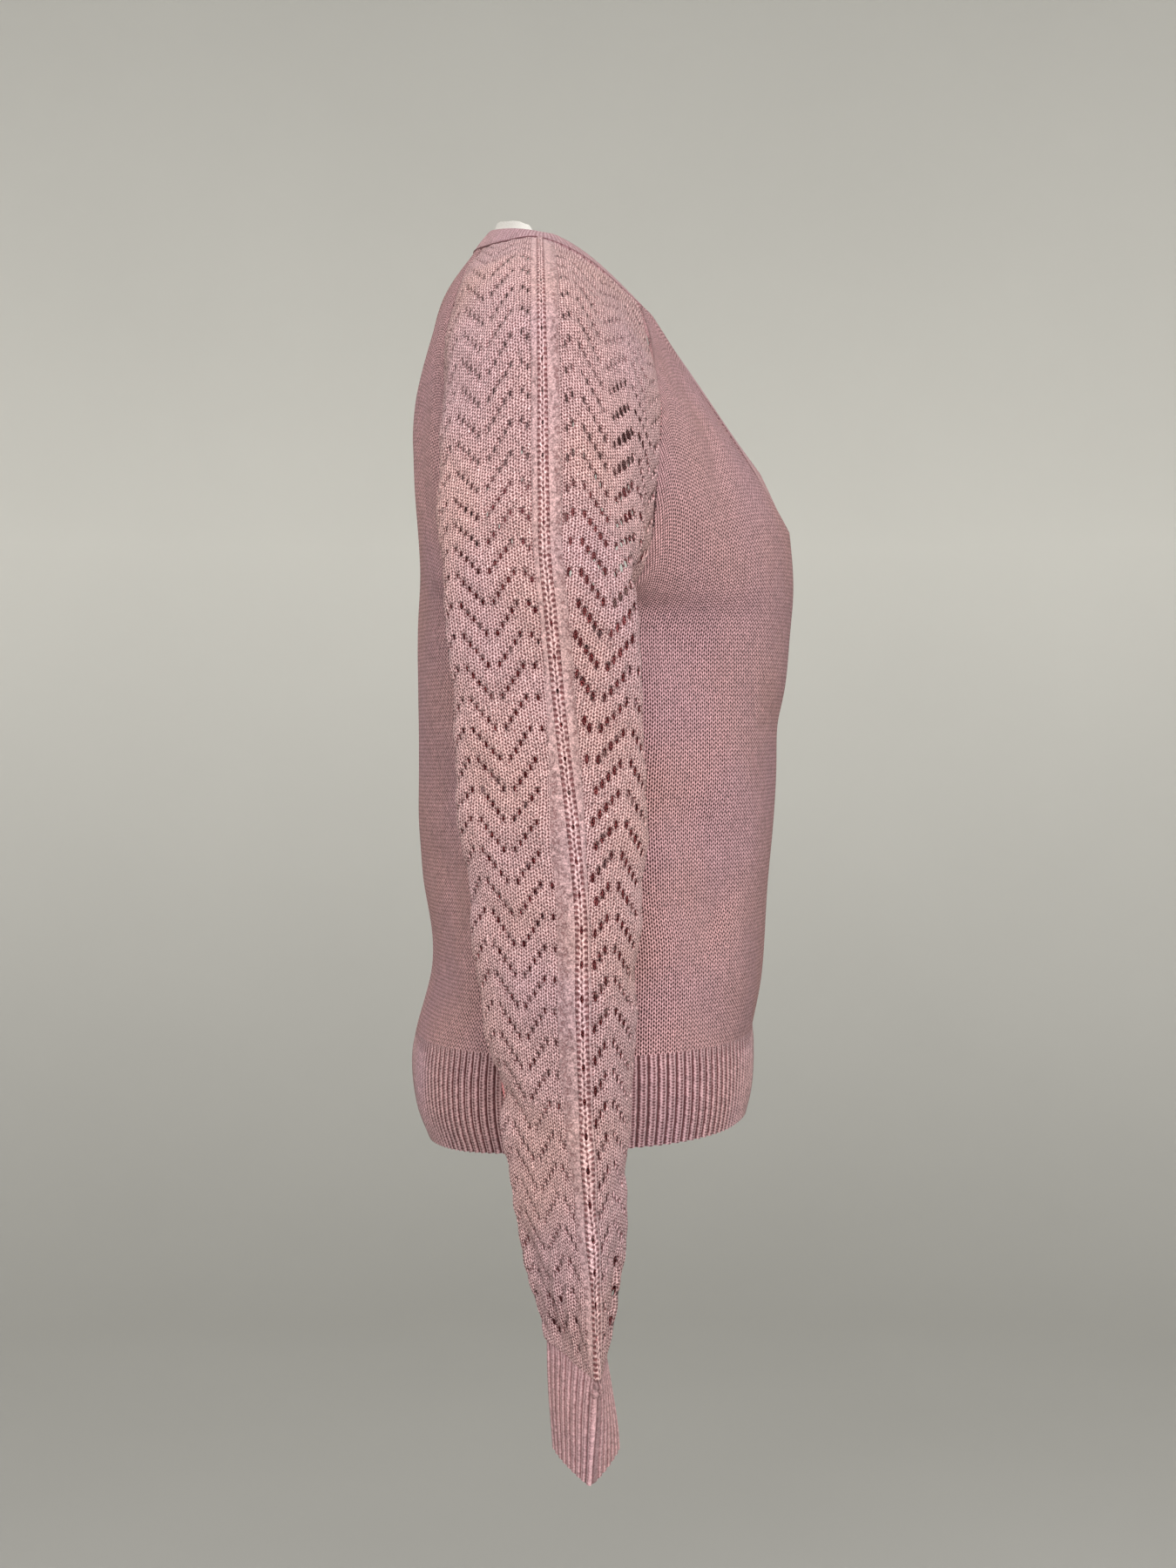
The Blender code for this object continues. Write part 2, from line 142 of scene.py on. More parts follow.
# The middle of a trough before the chain and the cells' width, and the same for a peak behind it.
LACE_FRONT = (
    (0, 42, 3.75), (12, 42, 3.75), (13, 38.5, 3.75), (14, 31.5, 3.75), (15, 23.3, 3.75),
    (16, 14.5, 3.75), (17, 5, 3.75), (18, -2, 3.7), (19, -3, 3.65), (24, -3, 3.4),
)
LACE_BACK = (
    (0, 16, 3.75), (15, 16, 3.75), (16, 15, 3.75), (17, 19.5, 3.75), (18, 20, 3.5), (20, 20, 3.1),
    (22, 19.5, 2.7), (24, 19, 2.5),
)
MOTIF_CELLS, MOTIF_ROWS, HOLE_ROWS = 12, 13, 3
COURSES_A_ROW, CHAIN_STITCH, CHAIN_WIDTH = 2 / 3, 3.5, 4.3
# Painted shade beside an eyelet: how much darker the yarn is painted at an eyelet's corners, as
# shade in the dent around it. A point a little darker than this keeps soft rims.
EYELET_SHADE = -0.13
CHAIN_COLUMNS = (-3.7, -2.9, -2.2, -1.5, -0.85, 0.85, 1.5, 2.2, 2.9, 3.7)


# --- curves and surfaces ---------------------------------------------------------------------


def hermite(start, leave, end, arrive, t):
    """The cubic from start to end that leaves and arrives with the given tangents."""
    t2, t3 = t * t, t * t * t
    first = (2 * t3 - 3 * t2 + 1) * start + (t3 - 2 * t2 + t) * leave
    return first + (3 * t2 - 2 * t3) * end + (t3 - t2) * arrive


def along(table, where):
    """The table's columns after its first, at each place, by cubics whose slope at a row is the
    mean of the slopes to its neighbours."""
    rows = np.array(table, float)
    at, values = rows[:, 0], rows[:, 1:]
    rise = np.diff(values, axis=0) / np.diff(at)[:, None]
    slope = np.vstack([rise[:1], (rise[:-1] + rise[1:]) / 2, rise[-1:]])
    where = np.clip(np.asarray(where, float), at[0], at[-1])
    i = np.clip(np.searchsorted(at, where, side="right") - 1, 0, len(at) - 2)
    span = (at[i + 1] - at[i])[..., None]
    t = (where - at[i])[..., None] / span
    return hermite(values[i], slope[i] * span, values[i + 1], slope[i + 1] * span, t)


def smooth(low, high, x):
    """0 below low, 1 above high, and a soft step between them."""
    t = np.clip((x - low) / (high - low), 0, 1)
    return t * t * (3 - 2 * t)


def bell(distance, width):
    """1 at no distance, and next to nothing a few widths away."""
    return np.exp(-((distance / width) ** 2))


def unit(vectors):
    """The vectors' directions, each with length 1."""
    return vectors / np.linalg.norm(vectors, axis=-1, keepdims=True)


def lengths(points, axis):
    """The distance run along an axis of a grid of points, starting at 0."""
    step = np.linalg.norm(np.diff(points, axis=axis), axis=-1)
    return np.concatenate([np.zeros_like(np.take(step, [0], axis)), np.cumsum(step, axis)], axis)


def press(grid, hollows, forward):
    """Presses the solids' soft folds in: a bell across each fold's line, half towards the middle
    and half towards the other panel."""
    inward = np.array([1, -forward]) * np.sqrt(0.5)
    for y0, z0, y1, z1, half_width, depth in hollows:
        start, line = np.array([y0, z0]), np.array([y1 - y0, z1 - z0])
        place = (grid[..., 1:] - start) @ line / (line @ line)
        off = grid[..., 1:] - start - np.clip(place, 0, 1)[..., None] * line
        near = np.exp(-((off**2).sum(-1)) / half_width**2)
        grid[..., :2] += inward * (depth * near)[..., None]
    return grid


def panel_half(rows, t, front):
    """Half of the front or back: a cubic in every row, from the seam at t = 0 to the middle or
    the V's edge at t = 1. rows and t are arrays of the same shape."""
    forward = -1 if front else 1
    seam = along(FRONT_SEAM if front else BACK_SEAM, TOP_ROW - rows)
    edge = np.where((rows < UNDERARM_ROW)[..., None], along(SIDE_SEAM, rows), seam)
    if front:
        below_v = (rows < V_ROW)[..., None]
        middle = np.where(below_v, along(CENTRE_FRONT, rows), along(V_EDGE, rows))
    else:
        middle = along(CENTRE_BACK, rows)
    leave = along(FRONT_LEAVE if front else BACK_LEAVE, rows)
    turn, seam_pull, middle_pull, slope = np.split(leave, 4, -1)
    turn, slope = np.radians(turn), np.radians(slope)
    chord = np.linalg.norm(middle - edge, axis=-1, keepdims=True)
    fall = middle[..., 2:] - edge[..., 2:]
    out = np.concatenate([np.sin(turn) * chord, forward * np.cos(turn) * chord, fall], -1)
    into = np.concatenate([np.cos(slope) * chord, forward * np.sin(slope) * chord, fall], -1)
    plain = hermite(edge, out * seam_pull, middle, into * middle_pull, t[..., None])
    if front:
        flat = smooth(TOP_ROW - 1, TOP_ROW, rows)[..., None]
        plain = plain + (edge + (middle - edge) * t[..., None] - plain) * flat
    pressed = press(plain.copy(), FRONT_HOLLOWS if front else BACK_HOLLOWS, forward)
    inside = np.clip(t / 0.1, 0, 1) * np.clip((1 - t) / 0.1, 0, 1)
    return plain + (pressed - plain) * inside[..., None]


def sleeve_at(stations, u):
    """The right sleeve: a curve through its five rails at every station, with u from 0 at the
    back seam over 2 at the ridge to 4 at the front seam. stations and u have the same shape."""
    cap = (stations <= CAP_END)[..., None]
    inner = along(INNER_LINE, stations)
    rails = [np.where(cap, along(BACK_SEAM, stations), inner), along(BACK_FOLD, stations)]
    rails += [along(RIDGE, stations), along(FRONT_FOLD, stations)]
    rails += [np.where(cap, along(FRONT_SEAM, stations), inner)]
    closed = np.clip((stations - CAP_END) / CLOSING_ROWS, 0, 1)[..., None]
    lower = np.clip((stations - CREASE_FROM) / (CUFF_STATION - CREASE_FROM), 0, 1)[..., None]
    return ring(np.stack(rails), closed, CUFF_CREASE * lower, u)


def ring(points, closed, crease, u):
    """A curve through the rails at u = 0, 1, 2 ... closed says how far its ends run into each
    other, and crease how far it is pulled towards its chords."""
    step = len(points) - 1
    slope = np.empty_like(points)
    slope[1:-1] = (points[2:] - points[:-2]) / 2
    joined = (points[1] - points[-2]) / 2
    slope[0] = closed * joined + (1 - closed) * (points[1] - points[0])
    slope[-1] = closed * joined + (1 - closed) * (points[-1] - points[-2])
    i = np.clip(u.astype(int), 0, step - 1)
    t = (u - i)[..., None]

    def pick(values, k):
        at = np.broadcast_to(k[None, ..., None], (1, *k.shape, 3))
        return np.take_along_axis(values, at, 0)[0]

    a, b = pick(points, i), pick(points, i + 1)
    curve = hermite(a, pick(slope, i), b, pick(slope, i + 1), t)
    return curve + (a + (b - a) * t - curve) * crease


def soft_folds(points, normals, folds, depth):
    """Moves points along their normals: for each fold, depth times a bell of the distance to its
    line through three places, faded towards its ends. Below zero is a trough."""
    for path, half_width, height in folds:
        best, where = np.full(points.shape[:-1], 1e9), np.zeros(points.shape[:-1])
        spans = np.linalg.norm(np.diff(path, axis=0), axis=1)
        run = 0.0
        for a, b, span in zip(path[:-1], path[1:], spans):
            t = np.clip((points - a) @ (b - a) / span**2, 0, 1)
            off = np.linalg.norm(points - a - t[..., None] * (b - a), axis=-1)
            near = off < best
            best = np.where(near, off, best)
            where = np.where(near, (run + t * span) / spans.sum(), where)
            run += span
        fade = 0.25 + 0.75 * np.sin(np.pi * np.clip(where, 0.02, 0.98)) ** 0.7
        points = points + normals * (depth * height * fade * bell(best, half_width))[..., None]
    return points


def slack(points, size, seed):
    """A gentle unevenness between about -1 and 1: six plane waves of about the given length."""
    turn = np.random.default_rng(seed)
    total = np.zeros(points.shape[:-1])
    for _ in range(6):
        way = turn.normal(size=3)
        way *= 2 * np.pi / (size * turn.uniform(0.7, 1.6) * np.linalg.norm(way))
        total += np.sin(points @ way + turn.uniform(0, 6.3))
    return total / 2.6


# --- cloth as closed shells --------------------------------------------------------------------

# The corners of a face in the other direction, and what takes the right half to the left.
TURNED, MIRROR = [0, 3, 2, 1], (-1, 1, 1)


def grid_faces(rows, columns):
    """The four corners of every cell of a grid, row by row."""
    at = np.arange(rows * columns).reshape(rows, columns)
    return np.stack([at[:-1, :-1], at[:-1, 1:], at[1:, 1:], at[1:, :-1]], -1).reshape(-1, 4)


def mapped(across, up):
    """Every point's place on a flat map, from its two parts."""
    return np.stack(np.broadcast_arrays(across, up), -1)


def mirrored(points, normals, faces, uv):
    """A surface of the right half as the wearer's left one."""
    return points * MIRROR, normals * MIRROR, faces[:, TURNED], uv[:, TURNED]


def tidied(points, faces, extra):
    """One point for each place, and no face that has shrunk to a line. A face that keeps three
    corners repeats its last one. extra is carried along with the faces. The last result is where
    each point stood before."""
    _, first, index = np.unique(np.round(points, 3), axis=0, return_index=True, return_inverse=True)
    faces = index.reshape(-1)[faces]
    same = faces == np.roll(faces, -1, axis=1)
    keep = same.sum(1) < 2
    faces, extra, same = faces[keep], extra[keep], same[keep]
    turn = np.where(same.any(1), (same.argmax(1) + 2) % 4, 0)
    turned = (np.arange(4) + turn[:, None]) % 4
    faces = np.take_along_axis(faces, turned, 1)
    extra = np.take_along_axis(extra, np.broadcast_to(turned[..., None], extra.shape), 1)
    return points[first], faces, extra, first


def both_halves(half, uv, flip):
    """A half grid and its mirror image as one surface: its points, its faces with their uv, and
    each point's place in the half grid. uv is (across from the middle, up)."""
    points, flat = half.reshape(-1, 3), uv.reshape(-1, 2)
    count = len(points)
    faces = grid_faces(*half.shape[:2])
    other = faces[:, TURNED]
    if flip:
        faces, other = other, faces
    faces = np.vstack([faces, other + count])
    uv = np.vstack([flat, flat * (-1, 1)])[faces]
    points, faces, uv, first = tidied(np.vstack([points, points * MIRROR]), faces, uv)
    return points, faces, uv, first % count


def vertex_normals(points, faces):
    """Unit normals at the points: the sum of the faces' cross products around each of them."""
    corner = [points[faces[:, k]] for k in range(4)]
    cross = np.cross(corner[2] - corner[0], corner[3] - corner[1])
    total = np.zeros_like(points)
    for axis in range(3):
        for k in range(4):
            total[:, axis] += np.bincount(faces[:, k], cross[:, axis], len(points))
    size = np.linalg.norm(total, axis=1, keepdims=True)
    return total / np.maximum(size, 1e-9)


def outline(faces):
    """The edges that one face alone uses, in the direction that face runs, with the face and the
    corner where each starts."""
    count = int(faces.max()) + 1
    start, end = faces, np.roll(faces, -1, axis=1)
    face, corner = np.indices(faces.shape)
    real = start != end
    start, end, face, corner = start[real], end[real], face[real], corner[real]
    code = np.minimum(start, end) * count + np.maximum(start, end)
    _, index, uses = np.unique(code, return_inverse=True, return_counts=True)
    alone = uses[index.reshape(-1)] == 1
    return start[alone], end[alone], face[alone], corner[alone]


def put(name, mesh, finish):
    """Puts a mesh into the scene as a piece that rides on the one body."""
    mesh.materials.append(finish_for(finish))
    piece = bpy.data.objects.new(name, mesh)
    bpy.context.scene.collection.objects.link(piece)
    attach(piece, "root")
    return piece


def cloth(name, node, surface, wall, finish, painted_inside_light=0.0):
    """Puts a closed shell into the scene in place of a solid. The surface, given as points,
    normals, faces, uv and its painted light and shade, is moved half the wall out and half in along
    its normals, with a rim along every edge, shaded sharp where it is a seam. Its painted light and
    shade say how much lighter or darker the yarn's colour is painted at each point, or all over,
    standing in for highlights and shade; a point a little darker than the eyelet shade value is
    beside an eyelet, in painted shade. The last argument is painted light as well: how much lighter
    the inside is painted, standing in for light that reaches the inside."""
    points, normals, faces, uv, painted_light_and_tone = surface
    count = len(points)
    painted_light_and_tone = np.broadcast_to(painted_light_and_tone, count)
    a, b, face, corner = outline(faces)
    crisp = np.zeros(count, bool)
    crisp[a] = (painted_light_and_tone[a] > EYELET_SHADE) | (painted_light_and_tone[a] < 2 * EYELET_SHADE)
    after = (corner + 1) % 4
    rims = np.stack([b, a, a + count, b + count], -1)
    rim_uv = np.stack([uv[face, k] for k in (after, corner, corner, after)], 1)
    polygons = np.vstack([faces, faces[:, TURNED] + count, rims])
    loops_uv = np.vstack([uv, uv[:, TURNED], rim_uv])
    half = normals * (wall / MM / 2)
    vertices = np.vstack([points + half, points - half]) * MM
    real = polygons != np.roll(polygons, 1, axis=1)
    real[real.sum(1) == 4] = True
    total = real.sum(1)
    mesh = bpy.data.meshes.new(name)
    mesh.vertices.add(len(vertices))
    mesh.vertices.foreach_set("co", vertices.ravel())
    mesh.loops.add(int(total.sum()))
    mesh.loops.foreach_set("vertex_index", polygons[real].astype(np.int32))
    mesh.polygons.add(len(polygons))
    mesh.polygons.foreach_set("loop_start", (np.cumsum(total) - total).astype(np.int32))
    mesh.update(calc_edges=True)
    layer = mesh.uv_layers.new(name="Knit")
    layer.data.foreach_set("uv", loops_uv[real].astype(np.float32).ravel())
    mesh.shade_smooth()
    # Painted light and shade at every point, with the inside painted lighter still, for the finish
    # to read.
    shades = np.concatenate([painted_light_and_tone, painted_light_and_tone + painted_inside_light]).astype(np.float32)
    mesh.attributes.new("Tint", "FLOAT", "POINT").data.foreach_set("value", shades)
    ends = np.empty(len(mesh.edges) * 2, np.int32)
    mesh.edges.foreach_get("vertices", ends)
    sharp = np.tile(crisp, 2)[ends.reshape(-1, 2)].all(1)
    mesh.attributes.new("sharp_edge", "BOOLEAN", "EDGE").data.foreach_set("value", sharp)
    if mesh.validate():
        raise RuntimeError(name + ": the shell has faulty faces")
    piece = put(name, mesh, finish)
    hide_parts(node)
    return piece


# What each piece was knitted to, lying flat: width and length in metres, and its area in square
# metres where it is not a rectangle.
PANEL_FLAT, FRONT_AREA = (0.48, 0.54), 0.188
BACK_FLAT, BACK_AREA = (0.46, 0.56), 0.185
LACE_FRONT_FLAT, LACE_FRONT_AREA = (0.14, 0.78), 0.082
LACE_BACK_FLAT, LACE_BACK_AREA = (0.14, 0.78), 0.080
HEM_FRONT_FLAT, HEM_BACK_FLAT = (0.47, 0.062), (0.47, 0.070)

# --- the pieces' shapes ------------------------------------------------------------------------

# Folds left by wearing, told apart on the two sides: a line through three places, then its half
# width and height. On a panel a place is (row, w), with w from 0 at the right seam over 1 in the
# middle to 2 at the left seam. On a sleeve it is (station, u).
FRONT_SOFT = (
    (8.7, 0.05, 7.8, 0.22, 6.9, 0.42, 17, -1.7), (10.6, 0.05, 9.6, 0.24, 9.2, 0.48, 16, 0.8),
    (7.4, 0.10, 5.0, 0.15, 2.4, 0.13, 13, -2.4), (5.2, 0.05, 4.2, 0.25, 4.0, 0.52, 17, -1.0),
    (3.4, 0.03, 2.6, 0.30, 2.7, 0.60, 16, -1.1), (0.8, 0.16, 1.9, 0.40, 3.6, 0.58, 12, -1.3),
    (6.4, 0.74, 5.8, 1.02, 6.5, 1.30, 20, -1.4), (17.5, 0.36, 14.4, 0.40, 11.6, 0.30, 12, -1.5),
    (8.8, 1.95, 8.0, 1.76, 7.3, 1.50, 16, -1.9), (10.2, 1.94, 9.5, 1.74, 9.4, 1.50, 14, 0.9),
    (7.0, 1.90, 4.6, 1.83, 1.9, 1.87, 14, -2.8), (5.4, 1.96, 4.5, 1.70, 4.6, 1.42, 16, -1.1),
    (3.1, 1.97, 2.3, 1.74, 2.5, 1.38, 16, -1.1), (0.9, 1.84, 1.8, 1.62, 3.2, 1.46, 12, -1.2),
    (16.8, 1.70, 14.0, 1.64, 11.4, 1.74, 11, -1.4),
)
BACK_SOFT = (
    (9.0, 0.05, 8.1, 0.22, 7.4, 0.46, 16, -1.9), (10.8, 0.06, 9.9, 0.26, 9.6, 0.48, 14, 0.9),
    (6.8, 0.12, 4.4, 0.18, 1.8, 0.15, 14, -2.2), (5.4, 0.06, 4.6, 0.40, 4.8, 0.85, 16, -1.4),
    (4.1, 0.05, 3.1, 0.42, 3.3, 0.90, 16, -1.5), (0.9, 0.14, 1.9, 0.42, 3.2, 0.62, 13, -1.3),
    (15.6, 0.30, 13.0, 0.36, 10.9, 0.28, 13, -1.6), (12.2, 0.72, 10.0, 0.94, 7.2, 0.98, 18, -1.8),
    (8.9, 1.94, 8.1, 1.76, 7.5, 1.52, 15, -1.8), (6.2, 1.90, 4.2, 1.84, 2.2, 1.88, 13, -2.5),
    (5.1, 1.95, 4.2, 1.62, 4.3, 1.18, 16, -1.4), (3.3, 1.96, 2.5, 1.66, 2.5, 1.30, 16, -1.3),
    (15.0, 1.72, 12.8, 1.64, 10.6, 1.72, 12, -1.5),
)
SLEEVE_SOFT_RIGHT = (
    (9.4, 3.42, 11.6, 3.36, 14.2, 3.30, 8, 2.2), (10.4, 3.75, 12.4, 3.70, 14.0, 3.62, 8, -2.0),
    (13.4, 0.30, 14.6, 0.72, 15.0, 1.15, 9, -2.0), (14.2, 3.95, 15.2, 3.40, 15.6, 2.95, 9, -1.8),
    (17.0, 0.75, 17.8, 1.15, 18.2, 1.62, 11, -1.6), (18.0, 3.30, 18.9, 2.95, 19.2, 2.50, 10, -1.4),
    (19.8, 0.60, 20.6, 1.05, 21.0, 1.55, 10, -1.6), (20.8, 3.45, 21.6, 3.00, 21.9, 2.45, 9, -1.4),
    (22.4, 1.10, 23.2, 1.30, 24.0, 1.38, 6, -1.8), (22.5, 2.65, 23.3, 2.60, 24.0, 2.62, 6, -1.6),
    (5.4, 0.60, 7.6, 0.72, 9.8, 0.66, 10, -1.4),
)
SLEEVE_SOFT_LEFT = (
    (9.0, 3.40, 11.2, 3.30, 13.8, 3.34, 9, 1.9), (10.8, 3.78, 12.2, 3.72, 13.6, 3.66, 8, -1.8),
    (13.2, 0.26, 14.2, 0.66, 14.9, 1.10, 10, -2.1), (14.6, 3.92, 15.7, 3.44, 16.0, 2.90, 10, -1.9),
    (16.4, 0.70, 17.3, 1.10, 17.9, 1.70, 10, -1.8), (18.5, 3.40, 19.3, 3.00, 19.9, 2.40, 11, -1.5),
    (19.2, 0.66, 20.1, 1.12, 20.7, 1.46, 9, -1.5), (21.2, 3.30, 21.9, 2.90, 22.4, 2.52, 9, -1.6),
    (22.2, 0.90, 23.1, 1.12, 24.0, 1.20, 6, -1.7), (22.8, 2.30, 23.4, 2.28, 24.0, 2.30, 6, -1.5),
    (6.2, 0.66, 8.0, 0.80, 10.4, 0.70, 11, -1.6),
)
SLACK_SIZE, SLACK_SEED = 95, 7
# The panels are eased about this row, and as many rows to either side.
EASED_ROW, EASED_ROWS = 8.8, 2.6
RIB_SAMPLES = 8
# The cells' width where an eyelet has its full width, and the gathers' width above the cuff.
FULL_CELL, GATHER_WIDTH = 3.75, 12.5
# Eyelets before the chain and behind it: how much their ends and their sides narrow, how far
# their ends reach and how nearly those by the neck are shut.
EYELETS_BEFORE, EYELETS_BEHIND = (0.50, -0.22, 0.85, 0.75), (0.62, 0.10, -0.15, 0.5)
# Stations where eyelets stop being nearly shut and where they begin to be slits; and where those
# by the front seam are pulled open, from so far before the chain.
SHUT_UNTIL, SLIT_FROM = (6.0, 13.5), (17.5, 21.5)
PULLED_FROM, PULLED_UNTIL, PULLED_BEYOND = (5.5, 8), (13, 15), (44, 58)
# Lines in each plain strip beside the chain, rows from one of the chain's eyelets to the next,
# and the station below which they are a row taller.
STRIP_LINES, CHAIN_STEP, TALL_FROM = 3, 14, 18
# The neckband's k at the V's upper end, at the sleeve's first row, at the back's and at its end.
BAND_V, BAND_SLEEVE, BAND_BACK, BAND_END = 9, 10, 30, 40
# How far from the cuff's outer crease its lines of painted shade run, where the knot lies from the
# crease's top, and how the knot's three directions count.
CREASE_SHADE_LINES, KNOT_PLACE, KNOT_REACH = 2.7, (0, -1.5, -5), (0.6, 1, 0.8)
LINKING_SIDES, LINKING_SAMPLES = 6, 4
# The tape: its k at the end, how far inside the band it lies, and where it comes out above it.
TAPE_START, TAPE_INSIDE, TAPE_SHOWS = 16.5, 1.9, (21.2, 22.4)


def on_panel(front, places):
    """The points of a panel at (row, w)."""
    row, w = places.T
    points = panel_half(row, np.where(w > 1, 2 - w, w), front)
    points[w > 1] *= MIRROR
    return points


def folded(points, normals, table, place, depth):
    """The points with a table's soft folds in them. place turns the table's places to points."""
    folds = [(place(np.reshape(path, (3, 2))), width, height) for *path, width, height in table]
    return soft_folds(points, normals, folds, depth)


def rolled(distance, depth, width=2.5):
    """How far an edge turns in at a seam: deepest at it and gone a few widths away."""
    return -depth * bell(distance, width)


def ease(count):
    """Places from 0 to 1, closer together towards both ends."""
    s = np.linspace(0, 1, count)
    return 0.35 * s + 0.65 * (0.5 - 0.5 * np.cos(np.pi * s))


def relaxed(grid, rows, t, rounds=70):
    """Eases a panel about the underarm: every point there moves towards the mean of its four
    neighbours, over and over, and the panel's edges stay where they are."""
    easy = bell(rows - EASED_ROW, EASED_ROWS)
    easy = easy * smooth(0.0, 0.06, t) * (1 - smooth(0.70, 0.92, t))
    easy = 0.8 * easy[1:-1, 1:-1, None]
    for _ in range(rounds):
        mean = (grid[:-2, 1:-1] + grid[2:, 1:-1] + grid[1:-1, :-2] + grid[1:-1, 2:]) / 4
        grid[1:-1, 1:-1] += easy * (mean - grid[1:-1, 1:-1])
    return grid


def panel_surface(front, stitch, form):
    """The front or the back, in plain knit from the hem to the neck."""
    rows, t = np.meshgrid(np.linspace(0, TOP_ROW, TOP_ROW * 8 + 1), ease(57), indexing="ij")
    half = relaxed(panel_half(rows, t, front), rows, t)
    run = lengths(half, 1)
    across = lengths(half[..., :2], 1)
    across = across[:, -1:] - across + np.abs(half[:, -1:, 0])
    up = lengths(half[..., 1:], 0)
    uv = mapped(-across / (stitch.wale / MM), up / (stitch.course / MM))
    seam = rolled(run, form.seam_roll / MM) * smooth(-0.2, 1.0, rows)
    if front:
        edge = rolled(run[:, -1:] - run, 0.5 * form.seam_roll / MM)
        seam += edge * smooth(V_ROW - 1.0, V_ROW, rows)
    fade = smooth(0.0, 1.2, rows) * smooth(0, 9, run)
    points, faces, uv, place = both_halves(half, uv, not front)
    normals = vertex_normals(points, faces)
    table = FRONT_SOFT if front else BACK_SOFT
    moved = folded(points, normals, table, lambda places: on_panel(front, places), form.fold_depth)
    points = points + (moved - points) * fade.ravel()[place][:, None]
    uneven = form.slack / MM * slack(points, SLACK_SIZE, SLACK_SEED)
    points += normals * (seam.ravel()[place] + uneven)[:, None]
    return points, vertex_normals(points, faces), faces, uv, 0.0


def lace_columns(table, stations, low, high, middle_cell):
    """The lines of a lace panel: for every cell of the motif its hole's two sides, kept between
    low and high. Returns the lines' distances from the chain, each cell's place in the motif, the
    lines' own places counted in cells, and the cells' width."""
    middle, width = along(table, stations).T
    first = int(np.floor(((low - middle) / width).min())) - 1
    last = int(np.ceil(((high - middle) / width).max())) + 1
    cells = np.arange(first, last + 1)
    place = (cells[:, None] + np.array([-1, 1]) / 3).ravel()
    lines = np.clip(middle[:, None] + width[:, None] * place, low[:, None], high[:, None])
    return lines, (cells + middle_cell) % MOTIF_CELLS, place, width


def rise_of(cells):
    """How many eyelets' heights the eyelets of a motif's cells start above those in its trough:
    one more for each cell up to the peak, and down again."""
    return 5 - np.abs(cells - 6)


def holes_in(lines, motif, low, high):
    """Where the lace has eyelets: True at the first row of each, for every cell. None is cut by
    the lace's edges, or lies in its first or last few rows."""
    inside = (lines[:, 0::2] > low[:, None] + 0.7) & (lines[:, 1::2] < high[:, None] - 0.7)
    whole = inside[:-3] & inside[1:-2] & inside[2:-1] & inside[3:]
    row = np.arange(len(whole))[:, None]
    start = (row + HOLE_ROWS * rise_of(motif)) % MOTIF_ROWS == 0
    return whole & start & (motif % 6 != 0) & (row > 3) & (row < len(lines) - 8)


def open_eyelets(lines, lift, painted_light_and_tone, gone, holes, width, stations, before, left):
    """Opens the lace's eyelets in the arrays of its lines: drops three cells for each, and rounds
    their corners off into an oval. They are nearly shut by the neck, slits by the cuff, and
    uneven everywhere."""
    r, c = np.nonzero(holes)
    seed = SLACK_SEED + 2 * left + before
    uneven = np.random.default_rng(seed).uniform(-1, 1, (5, len(r)))
    at = stations[r]
    ends, sides, taller, shutting = EYELETS_BEFORE if before else EYELETS_BEHIND
    shut = (1 - smooth(*SHUT_UNTIL, at)) * shutting
    if before:
        pulled = smooth(*PULLED_BEYOND, lines[r, 2 * c]) * smooth(*PULLED_FROM, at)
        pulled = pulled * (1 - smooth(*PULLED_UNTIL, at))
        shut = shut * (1 - pulled) - 0.75 * pulled
    slit = smooth(*SLIT_FROM, at)
    corners = ((ends, -taller), (sides, -0.1), (sides, 0.1), (ends, taller))
    for k, (narrower, longer) in enumerate(corners):
        reach = longer * (1 - shut) + (0.25 + 0.3 * slit) * uneven[4]
        reach = reach + 0.35 * slit * np.sign(k - 1.5)
        for side in (0, 1):
            corner = (r + k, 2 * c + side)
            narrow = narrower + (0.82 - narrower) * shut
            narrow = narrow + (0.22 * uneven[0] + 0.12 * uneven[1 + side]) * (1 - 0.6 * shut)
            narrow = narrow + 0.25 * slit
            moved = (1 - 2 * side) * narrow + 0.14 * uneven[3]
            lines[corner] += moved * width[r + k] / FULL_CELL
            lift[corner] += reach
            # Painted shade: each corner of the eyelet is painted darker, as shade in the dent
            # around it.
            painted_light_and_tone[corner] = EYELET_SHADE - (0.01 if before else 0.05) * (1 - shut)
        if k < HOLE_ROWS:
            gone[r + k, 2 * c] = True


def chain_lines(slim, behind, before):
    """The chain's own lines, with those of the plain strips on either side of it."""
    part = np.array([1, 2 / 3, 1 / 3])
    reach = CHAIN_COLUMNS[-1] * slim
    strips = [-reach - (behind[:, None] - reach) * part, slim * CHAIN_COLUMNS]
    strips += [reach + (before[:, None] - reach) * part[::-1]]
    return np.hstack(strips)


def open_chain(lines, gone, slim, stations):
    """Opens the small eyelets down the middle of the chain, which are taller down the arm."""
    middle = STRIP_LINES + len(CHAIN_COLUMNS) // 2 - 1
    first = np.arange(8, len(lines) - 12, CHAIN_STEP)
    tall = np.where(stations[first] > TALL_FROM, 3, 2)
    for k in range(4):
        some = first[tall >= k]
        ends = (k == 0) | (k == tall[tall >= k])
        narrow = np.where(ends, 0.25, -0.25)
        for side in (0, 1):
            lines[some + k, middle + side] += (1 - 2 * side) * narrow * slim[some, 0]
        gone[first[tall > k] + k, middle] = True


